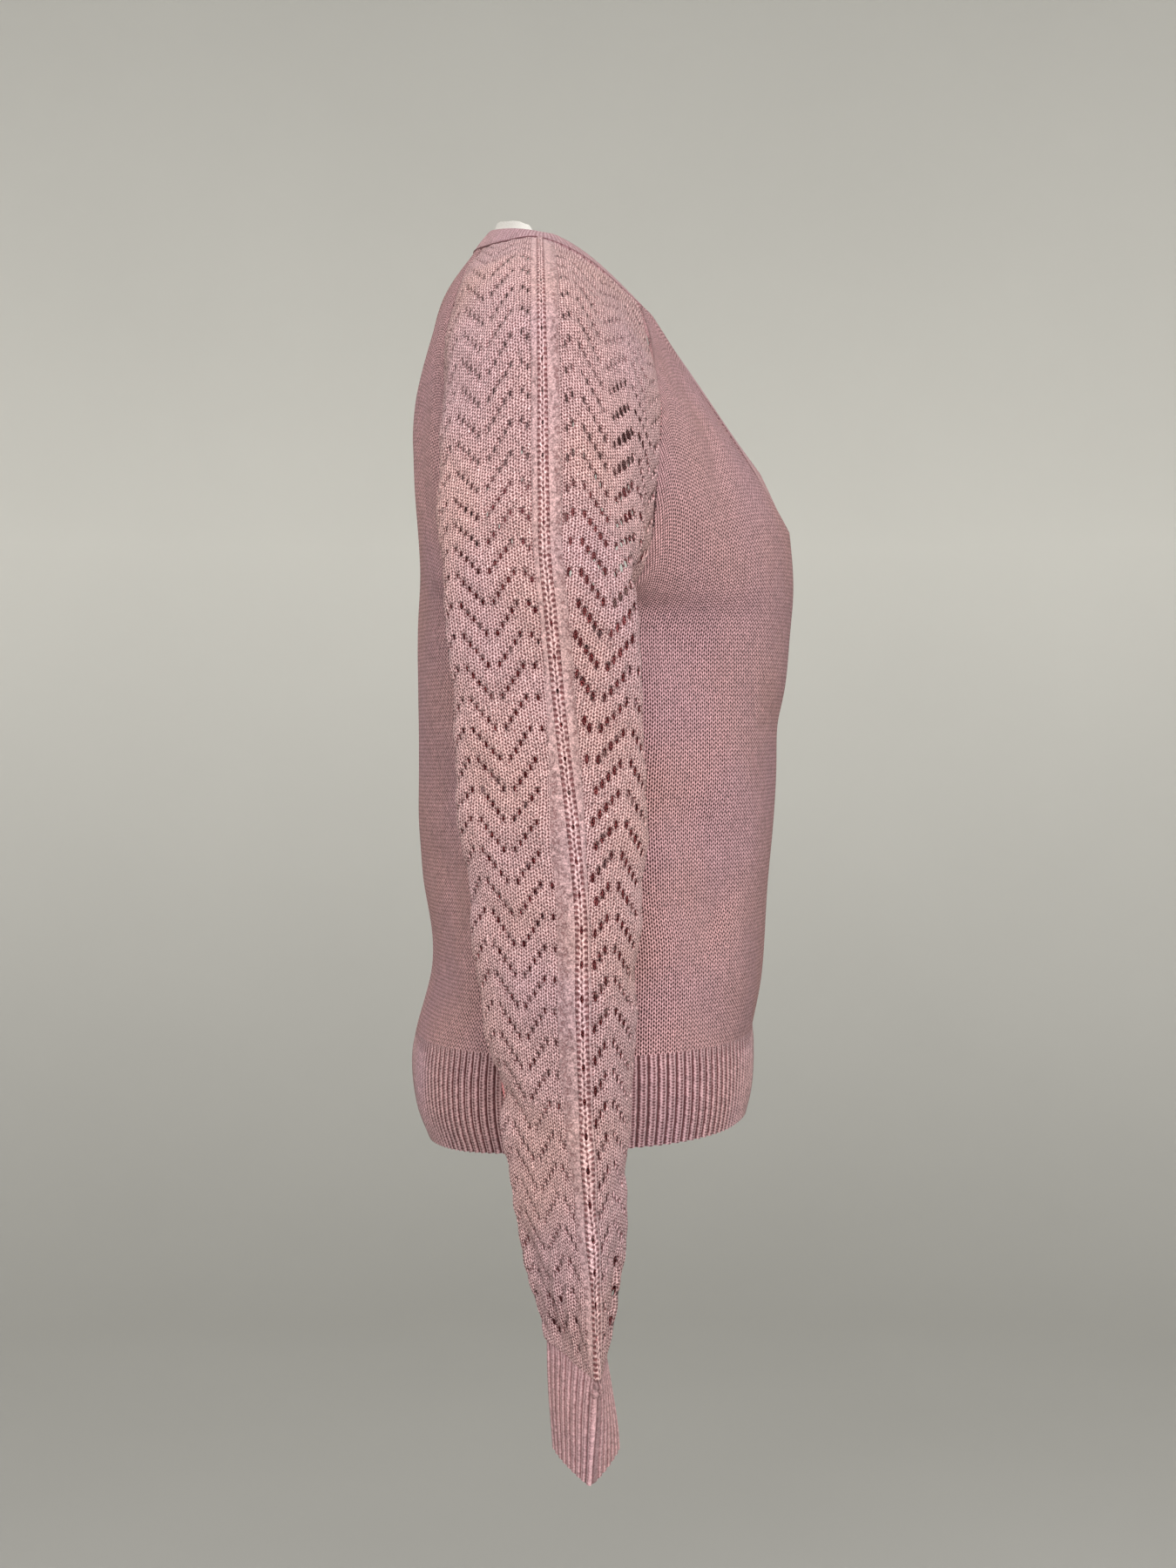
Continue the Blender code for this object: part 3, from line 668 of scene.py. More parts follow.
def sleeve_maps(lines, place, start, slim, course, faces):
    """A stitch map at the faces' corners: a wale to each cell of the lace, plain strips, and one
    broad wale for the chain. The lace starts at the line start."""
    row = np.arange(len(lines))[:, None]

    def corners(across, up):
        return mapped(np.broadcast_to(across, lines.shape), up).reshape(-1, 2)[faces]

    maps = corners(np.concatenate([np.zeros(start), place]), -row * COURSES_A_ROW)
    if start:
        column = np.tile(np.arange(lines.shape[1] - 1), len(lines) - 1)
        strip = column < start
        maps[strip] = corners(0.27 + 0.02 * np.abs(lines), 0.0)[strip]
        chain = (column >= STRIP_LINES) & (column < STRIP_LINES - 1 + len(CHAIN_COLUMNS))
        across = np.clip(lines / (CHAIN_WIDTH * slim), -0.5, 0.5) * 0.98 + 0.5
        maps[chain] = corners(across, -row * course / CHAIN_STITCH)[chain]
    return maps


def lace_relief(lace, place, motif, low, high, form):
    """How far the lace stands out: chevrons between the eyelets, and an edge that turns in."""
    row = np.arange(len(lace))[:, None]
    rise = rise_of((place + motif[0] - place[:2].mean()) % MOTIF_CELLS)
    wave = -np.cos(2 * np.pi * (row + HOLE_ROWS * rise - 1.5) / MOTIF_ROWS)
    edge = np.minimum(lace - low[:, None], high[:, None] - lace)
    relief = form.lace_relief / MM * wave * smooth(0, 4, edge)
    return relief + rolled(high[:, None] - lace, form.seam_roll / MM)


def gathers(across, row, below, depth, left):
    """Uneven folds that run down to the cuff, deepest some way above it."""
    pull = (1 - smooth(20, 95, below)) * smooth(0, 26, below)
    sway = 1.3 * np.sin(across / 8.5 + row / 55 + 2 * left)
    phase = 2 * np.pi * across / GATHER_WIDTH + sway
    return -depth * pull * (0.05 + 0.5 * np.cos(phase))


def sleeve_piece(stitch, form, before, left):
    """Half of a sleeve, on rows a course apart down its ridge. before is True for the half with
    the chain, the plain strips and the lace in front of them, and False for the lace behind them.
    left mirrors it and gives it folds of its own."""
    course = stitch.lace_course / MM
    fine = np.linspace(0, CUFF_STATION, 2401)
    down = lengths(along(RIDGE, fine), 0)
    length = down[-1]
    rows = int(round(length / course)) + 1
    stations = np.interp(np.linspace(0, length, rows), down, fine)
    row = np.arange(rows)[:, None]
    dense_u = np.linspace(0, 4, 321)
    run = lengths(sleeve_at(*np.meshgrid(stations, dense_u, indexing="ij")), 1)
    shift, strip_before, strip_behind = along(CHAIN, stations).T
    zero = run[:, len(dense_u) // 2] + shift
    slim = (0.66 + 0.34 * smooth(2, 14, stations))[:, None]

    # The lines down the sleeve, with the eyelets opened between them.
    if before:
        sign, low, high = 1, strip_before, run[:, -1] - zero
        lace, motif, place, width = lace_columns(LACE_FRONT, stations, low, high, 0)
        band = chain_lines(slim, strip_behind, strip_before)
    else:
        sign, low, high = -1, strip_behind, zero
        lace, motif, place, width = lace_columns(LACE_BACK, stations, low, high, 6)
        band = np.empty((rows, 0))
    start = band.shape[1]
    lines = np.hstack([band, lace])
    lift, painted_light_and_tone = np.zeros_like(lines), np.zeros_like(lines)
    gone = np.zeros((rows - 1, lines.shape[1] - 1), bool)
    own = [each[:, start:] for each in (lines, lift, painted_light_and_tone, gone)]
    open_eyelets(*own, holes_in(lace, motif, low, high), width, stations, before, left)
    if before:
        open_chain(lines, gone, slim, stations)
        off = np.abs(band) / slim
        # Painted highlight: the middle of the chain is painted a little lighter, as light on its
        # raised stitches; the chain's sides and the plain strips beside it are painted darker.
        painted_light_and_tone[:, :start] = 0.04 * (1 - smooth(1.5, 2.6, off)) - 0.29 * smooth(2.4, 3.8, off)

    # Every line in its place on the sleeve. A lane to each row keeps them apart while they are
    # looked up all at once.
    lane = row * 1e4
    wanted = zero[:, None] + sign * lines
    u = np.interp((wanted + lane).ravel(), (run + lane).ravel(), np.tile(dense_u, rows))
    per_mm = np.gradient(stations) / course
    at_station = stations[:, None] + lift * per_mm[:, None]
    u = np.clip(u.reshape(lines.shape), 0, 4)
    grid = sleeve_at(np.clip(at_station, 0, CUFF_STATION), u)

    # The relief: the lace's, two ridges in the chain, gathers and edges that turn in.
    relief = np.zeros_like(lines)
    relief[:, start:] = lace_relief(lace, place, motif, low, high, form)
    if before:
        off = np.abs(band) / (CHAIN_COLUMNS[-1] * slim)
        ridge = np.where(off < 1, np.sin(np.pi * np.minimum(off, 1)) ** 0.8, 0)
        groove = 0.25 * smooth(1.0, 1.6, off) * (1 - smooth(1.6, 2.4, off))
        relief[:, :start] = form.chain_height / MM * ridge - groove
    below = length - row * course
    relief += gathers(sign * lines, row, below, form.gather_depth / MM, left)
    relief += rolled(row * course, 0.15 * form.seam_roll / MM) - 0.2 * (1 - smooth(0, 3, below))

    faces = grid_faces(*lines.shape)
    maps = sleeve_maps(lines, place, start, slim, course, faces)
    if before:
        faces, maps = faces[:, TURNED], maps[:, TURNED]
    carried = np.broadcast_to(gone.reshape(-1, 1, 1), (len(faces), 4, 1))
    carried = np.concatenate([maps, carried], 2)
    points, faces, carried, first = tidied(grid.reshape(-1, 3), faces, carried)
    normals = vertex_normals(points, faces)
    table = SLEEVE_SOFT_LEFT if left else SLEEVE_SOFT_RIGHT
    moved = folded(points, normals, table, lambda places: sleeve_at(*places.T), form.fold_depth)
    uneven = form.slack / MM * slack(points, SLACK_SIZE / 2, SLACK_SEED + 1 + left)
    uneven = uneven * smooth(0, 20, -points[:, 2])
    points = moved + normals * (relief.ravel()[first] + uneven)[:, None]
    normals = vertex_normals(points, faces)
    whole = carried[:, 0, 2] < 0.5
    surface = points, normals, faces[whole], carried[whole, :, :2]
    return *(mirrored(*surface) if left else surface), painted_light_and_tone.ravel()[first]


def rib_profile(phase, height):
    """A rib's height at its phase, in ribs: broad and round, with a narrow groove between."""
    return height * (2 * np.abs(np.cos(np.pi * phase)) ** 0.8 - 1)


def spaced(points, pitch, samples):
    """Whole ribs along a line of points: the phase of each sample, counted in ribs, and where it
    lies, from 0 to 1 along the line's own parameter."""
    run = lengths(points, 0)
    ribs = int(round(run[-1] / pitch))
    places = np.linspace(0, run[-1], ribs * samples + 1)
    even = np.interp(places, run, np.linspace(0, 1, len(points)))
    return np.arange(ribs * samples + 1) / samples, even


def cuff_surface(stitch, form, left):
    """A cuff: straight ribs from the sleeve's last ring to a lower edge of four arcs, with a small
    knot at its top. Its painted light puts a painted highlight on the rib along the outer crease,
    painted shade in a line on either side of it, and painted shade among the turns of the knot."""
    corners = np.array(CUFF_CORNERS, float)

    def at(t, u):
        top = sleeve_at(np.full(u.shape, float(CUFF_STATION)), u)
        rim = ring(np.repeat(corners[:, None], len(u), axis=1), 1.0, CUFF_CREASE, u)
        return top + (rim - top) * t

    phase, even = spaced(at(0.5, np.linspace(0, 4, 1201)), stitch.cuff_rib / MM, RIB_SAMPLES)
    t = np.concatenate([np.linspace(0, 0.18, 11)[:-1], np.linspace(0.18, 1, 12)])
    grid = np.stack([at(k, even * 4) for k in t])
    grid[:, -1] = grid[:, 0]
    up = -lengths(grid, 0) / (stitch.rib_course / MM)
    uv = mapped(phase + 0.5, up).reshape(-1, 2)
    faces = grid_faces(*grid.shape[:2])[:, TURNED]
    points, faces, uv, first = tidied(grid.reshape(-1, 3), faces, uv[faces])
    normals = vertex_normals(points, faces)
    taper = 0.35 + 0.65 * smooth(0, 0.12, t)
    relief = rib_profile(phase, 0.6 * form.rib_height / MM) * taper[:, None]
    points = points + normals * relief.ravel()[first][:, None]

    run = lengths(grid[np.searchsorted(t, 0.5)], 0)
    off = run - np.interp(2.0, even * 4, run)
    # Painted shade in a line on either side of the outer crease, and a painted highlight on the
    # crease's own rib.
    dark = bell(off - CREASE_SHADE_LINES, 0.9) + bell(off + CREASE_SHADE_LINES, 0.9)
    shade = 0.20 * bell(off, 1.3) - 0.5 * dark
    painted_light_and_tone = (shade * smooth(0.1, 0.35, t)[:, None]).ravel()[first]
    top = sleeve_at(np.array([float(CUFF_STATION)]), np.array([2.0]))
    away = points - top - KNOT_PLACE
    far = np.linalg.norm(away * KNOT_REACH, axis=1)
    swirl = np.cos(1.5 * far - 1.6 * np.arctan2(away[:, 2], away[:, 1]))
    knot = bell(far, 5.0) * (1.7 + swirl)
    # Painted shade among the knot's turns, with a faint painted highlight on their tops.
    painted_light_and_tone = painted_light_and_tone + 0.32 * bell(far, 4.6) * (swirl - 0.8)
    inward = 0.9 * (1 - smooth(0, 0.3, t[first // len(phase)]))
    uneven = 0.8 * slack(points, 60, SLACK_SEED + 5 + left)
    points = points + normals * (knot - inward + uneven)[:, None]
    surface = points, normals, faces, uv
    return *(mirrored(*surface) if left else surface), painted_light_and_tone


def hem_surface(front, stitch, form):
    """Half of the hem all round: the panel's first row carried down, with straight ribs."""
    dense = np.linspace(0, 1, 1201)
    seam = panel_half(np.zeros_like(dense), dense, front)
    phase, t = spaced(seam, stitch.hem_rib / MM, RIB_SAMPLES)
    phase = phase[::-1]
    seam = panel_half(np.zeros_like(t), t, front)
    side, middle = np.cos(t * np.pi / 2), np.sin(t * np.pi / 2)
    down = np.linspace(0, 3, 15)
    out_side, out_front, out_back, down_side, down_front, down_back = along(HEM_RINGS, down).T
    grid = np.repeat(seam[None], len(down), axis=0)
    grid[..., 0] -= np.outer(out_side, side)
    grid[..., 1] += (-1 if front else 1) * np.outer(out_front if front else out_back, middle)
    grid[..., 2] -= np.outer(down_side, 1 - middle)
    grid[..., 2] -= np.outer(down_front if front else down_back, middle)
    up = -lengths(grid, 0) / (stitch.rib_course / MM)
    relief = rib_profile(phase, form.rib_height / MM) * smooth(-0.05, 0.6, down)[:, None]
    points, faces, uv, place = both_halves(grid, mapped(-phase - 0.5, up), front)
    normals = vertex_normals(points, faces)
    uneven = form.slack / MM * slack(points, SLACK_SIZE, SLACK_SEED)
    points = points + normals * (relief.ravel()[place] + uneven)[:, None]
    return points, normals, faces, uv, 0.0


def band_seam(k):
    """The neckband's seam on the right: the V's edge, the front's top, the sleeve's first row,
    and the back's last row."""
    v = along(V_EDGE, V_ROW + np.minimum(k, BAND_V))
    u = np.clip(4 * (BAND_BACK - k) / (BAND_BACK - BAND_SLEEVE), 0, 4)
    sleeve = sleeve_at(np.zeros_like(k), u)
    t = np.clip((k - BAND_BACK) / (BAND_END - BAND_BACK), 0, 1)
    back = panel_half(np.full_like(k, float(TOP_ROW)), t, False)
    front = v + (sleeve - v) * np.clip(k - BAND_V, 0, 1)[..., None]
    beyond = np.where((k > BAND_BACK)[..., None], back, sleeve)
    return np.where((k < BAND_SLEEVE)[..., None], front, beyond)


def band_at(k, t):
    """The neckband from its seam at t = 0 to its inner edge at t = 1."""
    seam = band_seam(k)
    return seam + (along(BAND_EDGE, k) - seam) * t


def band_surface(stitch, form):
    """The neckband: ribs straight across it and a soft crown."""
    line = band_at(np.linspace(0, BAND_END, 2001), 0.4)
    phase, even = spaced(line, stitch.neck_rib / MM, RIB_SAMPLES)
    t = ease(10)
    grid = np.stack([band_at(even * BAND_END, step) for step in t])
    up = lengths(grid, 0) / (stitch.rib_course / MM)
    taper = smooth(0.0, 0.16, t) * (1 - 0.4 * smooth(0.9, 1, t))
    crown = 0.45 * np.sin(np.pi * t) ** 0.6 - 0.2 * (1 - smooth(0, 0.3, t))
    relief = rib_profile(phase, 0.12 * form.rib_height / MM) * taper[:, None] + crown[:, None]
    points, faces, uv, place = both_halves(grid, mapped(-phase - 0.5, up), True)
    normals = vertex_normals(points, faces)
    return points + normals * relief.ravel()[place][:, None], normals, faces, uv, 0.0


def linking_surface(stitch):
    """The linked chain along the neckband's seam, as points, faces and uv: a thin closed tube
    that swells at every stitch. It is worked out all round, from the V over the right side and
    back over the left."""
    line = band_at(np.linspace(0, BAND_END, 3001), 0.03)
    _, even = spaced(line, stitch.neck_rib / MM / 2, LINKING_SAMPLES)
    halves = [band_at(even * BAND_END, t) for t in (0.02, 0.3)]
    path, ahead = [np.vstack([half, (half * MIRROR)[-2:0:-1]]) for half in halves]
    across = unit(ahead - path)
    out = unit(np.cross(across, unit(np.roll(path, -1, axis=0) - np.roll(path, 1, axis=0))))
    count = len(path)
    swell = 0.30 + 0.28 * np.abs(np.sin(np.pi * np.arange(count) / LINKING_SAMPLES))
    turn = np.linspace(0, 2 * np.pi, LINKING_SIDES + 1)[:-1, None]
    circle = np.cos(turn) * out[:, None] + np.sin(turn) * across[:, None] * 1.25
    points = (path + out * 0.9)[:, None] + swell[:, None, None] * circle
    at = np.arange(count * LINKING_SIDES).reshape(count, LINKING_SIDES)
    after, beside = np.roll(at, -1, axis=0), np.roll(at, -1, axis=1)
    faces = np.stack([at, after, np.roll(after, -1, axis=1), beside], -1).reshape(-1, 4)
    uv = mapped(0.5, faces // LINKING_SIDES / LINKING_SAMPLES + 0.5)
    return points.reshape(-1, 3), faces, uv


def tape_surface():
    """The tape inside the back of the neckband, from its middle to a little above its edge."""
    k = np.linspace(TAPE_START, BAND_END, 190)
    seam, edge = band_at(k, 0.0), band_at(k, 1.0)
    up = unit(unit(edge - seam) + (0, 0, 0.7))
    out = unit(np.cross(np.gradient(edge, axis=0), up))
    out *= np.sign(out[-1, 1])
    full = 5.2 + 0.15 * np.sin(k * 1.3) + 0.12 * np.sin(k * 2.9 + 1)
    height = 2.6 + full * smooth(*TAPE_SHOWS, k)
    low = (seam + edge) / 2
    rows = [low + (edge - low) * part for part in (0.0, 0.35, 0.7, 1.0)]
    rows += [edge + up * (height * part)[:, None] for part in (0.4, 0.75, 1.0)]
    grid = np.stack(rows) - out * TAPE_INSIDE
    uv = mapped(lengths(grid, 1), lengths(grid, 0))
    points, faces, uv, _ = both_halves(grid, uv, True)
    return points, vertex_normals(points, faces), faces, uv, 0.0


# --- finishes ----------------------------------------------------------------------------------

# The knitted finishes: whose colour, then the stitches' height and the painted shade in the gaps
# against the settings, the dots between the legs, how far the yarn wobbles, the groove between
# wales, the flecks, the gap between stitches and the sheen.
KNITS = {
    "Pink stockinette": ("knit", 1.0, 1.15, 0.85, 0.16, 0.0, 0.12, 0.26, 0.22),
    "Pink lace": ("lace", 1.0, 0.8, 0.8, 0.45, 0.0, 0.42, 0.26, 0.25),
    "Pink rib": ("rib", 0.8, 0.8, 0.75, 0.14, 0.75, 0.16, 0.08, 0.22),
    "Pink neck rib": ("rib", 0.35, 0.4, 0.5, 0.2, 0.25, 0.14, 0.1, 0.22),
    "Pink cuff rib": ("rib", 0.5, 0.5, 0.35, 0.2, 0.45, 0.2, 0.05, 0.22),
}


class Graph:
    """Short words for the nodes of one tree: every call adds a node and gives its outputs, or
    the one that is used."""

    def __init__(self, tree):
        self.tree = tree

    def fill(self, node, inputs):
        """Links a node's inputs to outputs, and sets the others."""
        for key, value in inputs.items():
            if isinstance(value, bpy.types.NodeSocket):
                self.tree.links.new(value, node.inputs[key])
            elif value is not None:
                node.inputs[key].default_value = value

    def add(self, kind, inputs=None, **settings):
        node = self.tree.nodes.new("ShaderNode" + kind)
        for key, value in settings.items():
            setattr(node, key, value)
        self.fill(node, inputs or {})
        return node.outputs

    def math(self, operation, a, b=None, c=None):
        return self.add("Math", {0: a, 1: b, 2: c}, operation=operation)[0]

    def plus(self, a, b):
        return self.math("ADD", a, b)

    def minus(self, a, b):
        return self.math("SUBTRACT", a, b)

    def times(self, a, b):
        return self.math("MULTIPLY", a, b)

    def scale(self, vector, factor):
        return self.add("VectorMath", {0: vector, "Scale": factor}, operation="SCALE")[0]

    def noise(self, vector, scale, detail=2.0, roughness=0.5):
        inputs = {"Vector": vector, "Scale": scale, "Detail": detail, "Roughness": roughness}
        return self.add("TexNoise", inputs)[0]

    def mix(self, factor, a, b, blend="MIX"):
        return self.add("Mix", {0: factor, 6: a, 7: b}, data_type="RGBA", blend_type=blend)[2]

    def spread(self, value, low, high, out_low=0.0, out_high=1.0):
        return self.add("MapRange", {0: value, 1: low, 2: high, 3: out_low, 4: out_high})[0]


def group(name, inputs, outputs):
    """A new shader node group with named sockets: its graph, what it is given and its output."""
    tree = bpy.data.node_groups.new(name, "ShaderNodeTree")
    for label, kind, default in inputs:
        kind = "NodeSocket" + kind
        socket = tree.interface.new_socket(name=label, in_out="INPUT", socket_type=kind)
        if default is not None:
            socket.default_value = default
    for label, kind in outputs:
        kind = "NodeSocket" + kind
        tree.interface.new_socket(name=label, in_out="OUTPUT", socket_type=kind)
    given = tree.nodes.new("NodeGroupInput").outputs
    return Graph(tree), given, tree.nodes.new("NodeGroupOutput")


def stitches_group():
    """Stocking stitch from a map counted in wales and courses. In each wale two legs rise on either
    side of its middle, and each leans outwards as it rises. Dots stand between them as low places,
    which the yarn's finish paints dark as shade in the gaps: one inside every V, and one outside
    it, half a course away. Groove sinks the line between wales, and Bead the gap between stitches."""
    g, given, out = group(
        "Knit stitches",
        [("Map", "Vector", None), ("Lean", "Float", 0.5), ("Wobble", "Float", 0.08),
         ("Dots", "Float", 0.85), ("Groove", "Float", 0.0), ("Bead", "Float", 0.26)],
        [("Height", "Float"), ("Chance", "Float")],
    )
    place = g.add("TexCoord")["Object"]
    sway = g.add("TexNoise", {"Vector": place, "Scale": 320.0, "Detail": 1.0})["Color"]
    sway = g.add("VectorMath", {0: sway, 1: (0.5, 0.5, 0.5)}, operation="SUBTRACT")[0]
    sway = g.scale(sway, given["Wobble"])
    moved = g.add("VectorMath", {0: given["Map"], 1: sway}, operation="ADD")[0]
    x, y, _ = g.add("SeparateXYZ", {0: moved})
    across = g.times(g.math("ABSOLUTE", g.minus(g.math("FRACT", x), 0.5)), 2.0)
    leg = g.math("SINE", g.times(across, np.pi))
    along_leg = g.minus(y, g.times(across, given["Lean"]))
    bead = g.math("ABSOLUTE", g.math("COSINE", g.times(along_leg, np.pi)))

    def dot(beside, shift):
        up = g.minus(g.math("FRACT", g.plus(y, shift)), 0.5)
        far = g.times(g.times(beside, beside), 9.5)
        far = g.plus(far, g.times(g.times(up, up), 17.0))
        return g.math("EXPONENT", g.times(far, -1.0))

    dots = g.plus(dot(across, 0.0), dot(g.minus(1.0, across), 0.5))
    uneven = g.spread(g.noise(place, 420.0, 1.0), 0.3, 0.7, 0.55, 1.25)
    kept = g.minus(1.0, g.times(g.times(dots, uneven), given["Dots"]))
    groove = g.times(g.spread(across, 0.62, 0.92), given["Groove"])
    kept = g.times(kept, g.minus(1.0, groove))
    beads = g.math("MULTIPLY_ADD", g.minus(bead, 1.0), given["Bead"], 0.56)
    height = g.math("MULTIPLY_ADD", leg, 0.44, beads)
    stitch = {0: g.math("FLOOR", g.times(x, 2.0)), 1: g.math("FLOOR", along_leg)}
    cell = g.add("CombineXYZ", stitch)[0]
    chance = g.add("TexWhiteNoise", {"Vector": cell}, noise_dimensions="2D")["Value"]
    g.fill(out, {"Height": g.times(height, g.math("MAXIMUM", kept, 0.0)), "Chance": chance})
    return g.tree


def yarn_group():
    """The yarn's look: a loose fuzz and fibres for its height, and a heather of lighter and darker
    places with slow, faint clouds for its own colour. Over that, its colour is painted dark and
    redder where the stitches' height is low, as shade in the gaps, and bright on their tops as a
    painted highlight; Tint adds painted light and shade, and from about 0.3 up paints the yarn
    redder too, as light inside the sleeves."""
    g, given, out = group(
        "Soft yarn",
        [("Colour", "Color", (0.6, 0.35, 0.36, 1)), ("Height", "Float", 0.5),
         ("Chance", "Float", 0.5), ("Depth", "Float", 1.0), ("Flecks", "Float", 0.1),
         ("Tint", "Float", 0.0)],
        [("Colour", "Color"), ("Fuzz", "Float")],
    )
    place = g.add("TexCoord")["Object"]
    fibre, fuzz = g.noise(place, 2600.0, 3.0, 0.65), g.noise(place, 900.0, 3.0, 0.6)
    cloud, blotch = g.noise(place, 9.0), g.noise(place, 75.0, 2.0, 0.6)
    shade = g.plus(*(g.spread(each, 0.3, 0.7, -0.05, 0.05) for each in (cloud, blotch)))
    shade = g.plus(shade, g.spread(given["Chance"], 0.0, 1.0, -0.15, 0.15))
    shade = g.plus(shade, g.times(g.spread(fuzz, 0.3, 0.7, -1.0, 1.0), given["Flecks"]))
    relief = g.plus(given["Height"], g.spread(fuzz, 0.3, 0.7, -0.10, 0.10))
    # Painted shade and highlight: the colour goes dark where the stitches are low and bright on
    # their tops.
    lit = g.spread(g.times(relief, relief), 0.0, 1.0, -0.90, 1.2)
    lit = g.math("MULTIPLY_ADD", lit, given["Depth"], 1.0)
    # Tint lightens or darkens it further, as painted light and shade.
    factor = g.times(g.plus(shade, 1.0), g.times(lit, g.plus(given["Tint"], 1.0)))
    # Where it is painted dark, it is also painted redder, as shade in red yarn is.
    scaled, deep = g.scale(given["Colour"], factor), g.spread(lit, 0.3, 1.0, 1.0, 0.0)
    reddened_shade = g.mix(deep, scaled, (1.05, 0.58, 0.60, 1), "MULTIPLY")
    turn = g.spread(g.noise(place, 13.0, 1.0), 0.35, 0.65)
    hue = g.mix(turn, (1.02, 1.0, 0.965, 1), (0.985, 0.985, 1.05, 1))
    # Painted light inside: where Tint is over about 0.3, on the insides, the yarn is painted redder
    # as well as lighter.
    inside = g.spread(given["Tint"], 0.3, 0.6)
    inside_bounce_colour = g.mix(inside, (1, 1, 1, 1), (1.10, 0.64, 0.68, 1))
    colour = g.mix(1.0, g.mix(1.0, reddened_shade, hue, "MULTIPLY"), inside_bounce_colour, "MULTIPLY")
    g.fill(out, {"Colour": colour, "Fuzz": g.plus(g.times(fibre, 0.4), fuzz)})
    return g.tree


def new_material(name):
    """A new material with its graph and its shader."""
    material = bpy.data.materials.new(name)
    material.use_nodes = True
    return material, Graph(material.node_tree), material.node_tree.nodes["Principled BSDF"]


def knit_material(name, yarn):
    """Knitted yarn: the stitches' height and the yarn's fuzz for the bump, and its colour painted
    darker between the stitches as shade and lighter on them as a highlight, with the painted light
    and shade that each piece carries."""
    whose, height, depth, dots, wobble, groove, flecks, bead, sheen = KNITS[name]
    stitches = bpy.data.node_groups.get("Knit stitches") or stitches_group()
    look = bpy.data.node_groups.get("Soft yarn") or yarn_group()
    material, g, shader = new_material(name)
    knit = g.add("Group", {
        "Map": g.add("UVMap", uv_map="Knit")[0], "Wobble": wobble, "Dots": dots,
        "Groove": groove, "Bead": bead,
    }, node_tree=stitches)
    soft = g.add("Group", {
        "Colour": (*getattr(yarn, whose), 1), "Height": knit["Height"], "Chance": knit["Chance"],
        "Depth": depth * yarn.gap_shade, "Flecks": flecks,
        "Tint": g.add("Attribute", attribute_name="Tint")["Fac"],
    }, node_tree=look)
    fuzzy = g.plus(knit["Height"], g.times(soft["Fuzz"], 0.22))
    bump = {"Height": fuzzy, "Distance": height * yarn.stitch_height, "Strength": 0.85}
    g.fill(shader, {
        "Base Color": soft["Colour"], "Normal": g.add("Bump", bump)[0], "Roughness": 0.92,
        "Specular IOR Level": 0.08, "Sheen Weight": sheen, "Sheen Roughness": 0.55,
        "Sheen Tint": (1.0, 0.80, 0.80, 1),
    })
    return material


def tape_material(name, yarn):
    """Twill tape: fine slanting ribs across a soft white, painted darker in the grooves between the
    ribs as shade.
    """
    material, g, shader = new_material(name)
    x, y, _ = g.add("SeparateXYZ", {0: g.add("UVMap", uv_map="Knit")[0]})
    slant = g.math("FRACT", g.plus(x, g.times(y, 0.8)))
    rib = g.math("SINE", g.times(slant, np.pi))
    weft = g.math("ABSOLUTE", g.math("SINE", g.times(y, 7.0)))
    height = g.math("MULTIPLY_ADD", weft, 0.35, rib)
    # Painted shade: the white darkens to this in the grooves.
    dark = (*(0.72 * c for c in yarn.tape), 1)
    painted_light_and_tone = g.mix(g.spread(height, 0.0, 1.0), dark, (*yarn.tape, 1))
    bump = g.add("Bump", {"Height": height, "Distance": 0.0003})[0]
    g.fill(shader, {"Base Color": painted_light_and_tone, "Normal": bump, "Roughness": 0.75})
    return material


def backdrop_material(wall):
    """A matt wall and floor in pale paint, with painted shade that darkens them a little towards
    the floor and the top, and a faint mottle."""
    material, g, shader = new_material("Pale backdrop")
    place = g.add("TexCoord")["Object"]
    height = g.add("SeparateXYZ", {0: place})[2]
    # Painted shade: darker towards the floor and towards the top.
    low, high = g.spread(height, -1.3, 0.2), g.spread(height, 0.2, 2.0)
    painted_light_and_tone = g.mix(low, (*(0.54 * c for c in wall), 1), (*wall, 1))
    painted_light_and_tone = g.mix(high, painted_light_and_tone, (*(0.66 * c for c in wall), 1))
    painted_light_and_tone = g.scale(painted_light_and_tone, g.spread(g.noise(place, 1.6, 3.0), 0.3, 0.7, 0.985, 1.015))
    g.fill(shader, {"Base Color": painted_light_and_tone, "Roughness": 0.95, "Specular IOR Level": 0.1})
    return material


def finish_for(name):
    """The finish of that name, made the first time it is asked for."""
    makers = {**dict.fromkeys(KNITS, knit_material), "White twill tape": tape_material}
    return bpy.data.materials.get(name) or makers[name](name, bpy.context.scene.sweater_yarn)


# --- settings ----------------------------------------------------------------------------------


def colour_setting(name, description, default):
    look = {"name": name, "description": description, "default": default, "subtype": "COLOR"}
    return bpy.props.FloatVectorProperty(**look, size=3, min=0, max=1)


def number_setting(name, description, default, **look):
    look = {"name": name, "description": description, "default": default, "min": 0, **look}
    return bpy.props.FloatProperty(**look)


def length_setting(name, description, default):
    return number_setting(name, description, default, unit="LENGTH", precision=5)


class SweaterStitch(bpy.types.PropertyGroup):
    wale: length_setting("Wale", "Width of one stitch in the plain knit", 0.0034)
    course: length_setting("Course", "Height of one stitch in the plain knit", 0.0026)
    lace_course: length_setting(
        "Lace row", "Height of one row of the lace's chart; thirteen rows are one chevron", 0.00147
    )
    cuff_rib: length_setting("Cuff rib", "Width of one rib of the cuffs", 0.0054)
    rib_course: length_setting("Rib course", "Height of one stitch in the ribs", 0.0019)
    hem_rib: length_setting("Hem rib", "Width of one rib of the hem", 0.0066)
    neck_rib: length_setting("Neckband rib", "Width of one rib of the neckband", 0.0054)


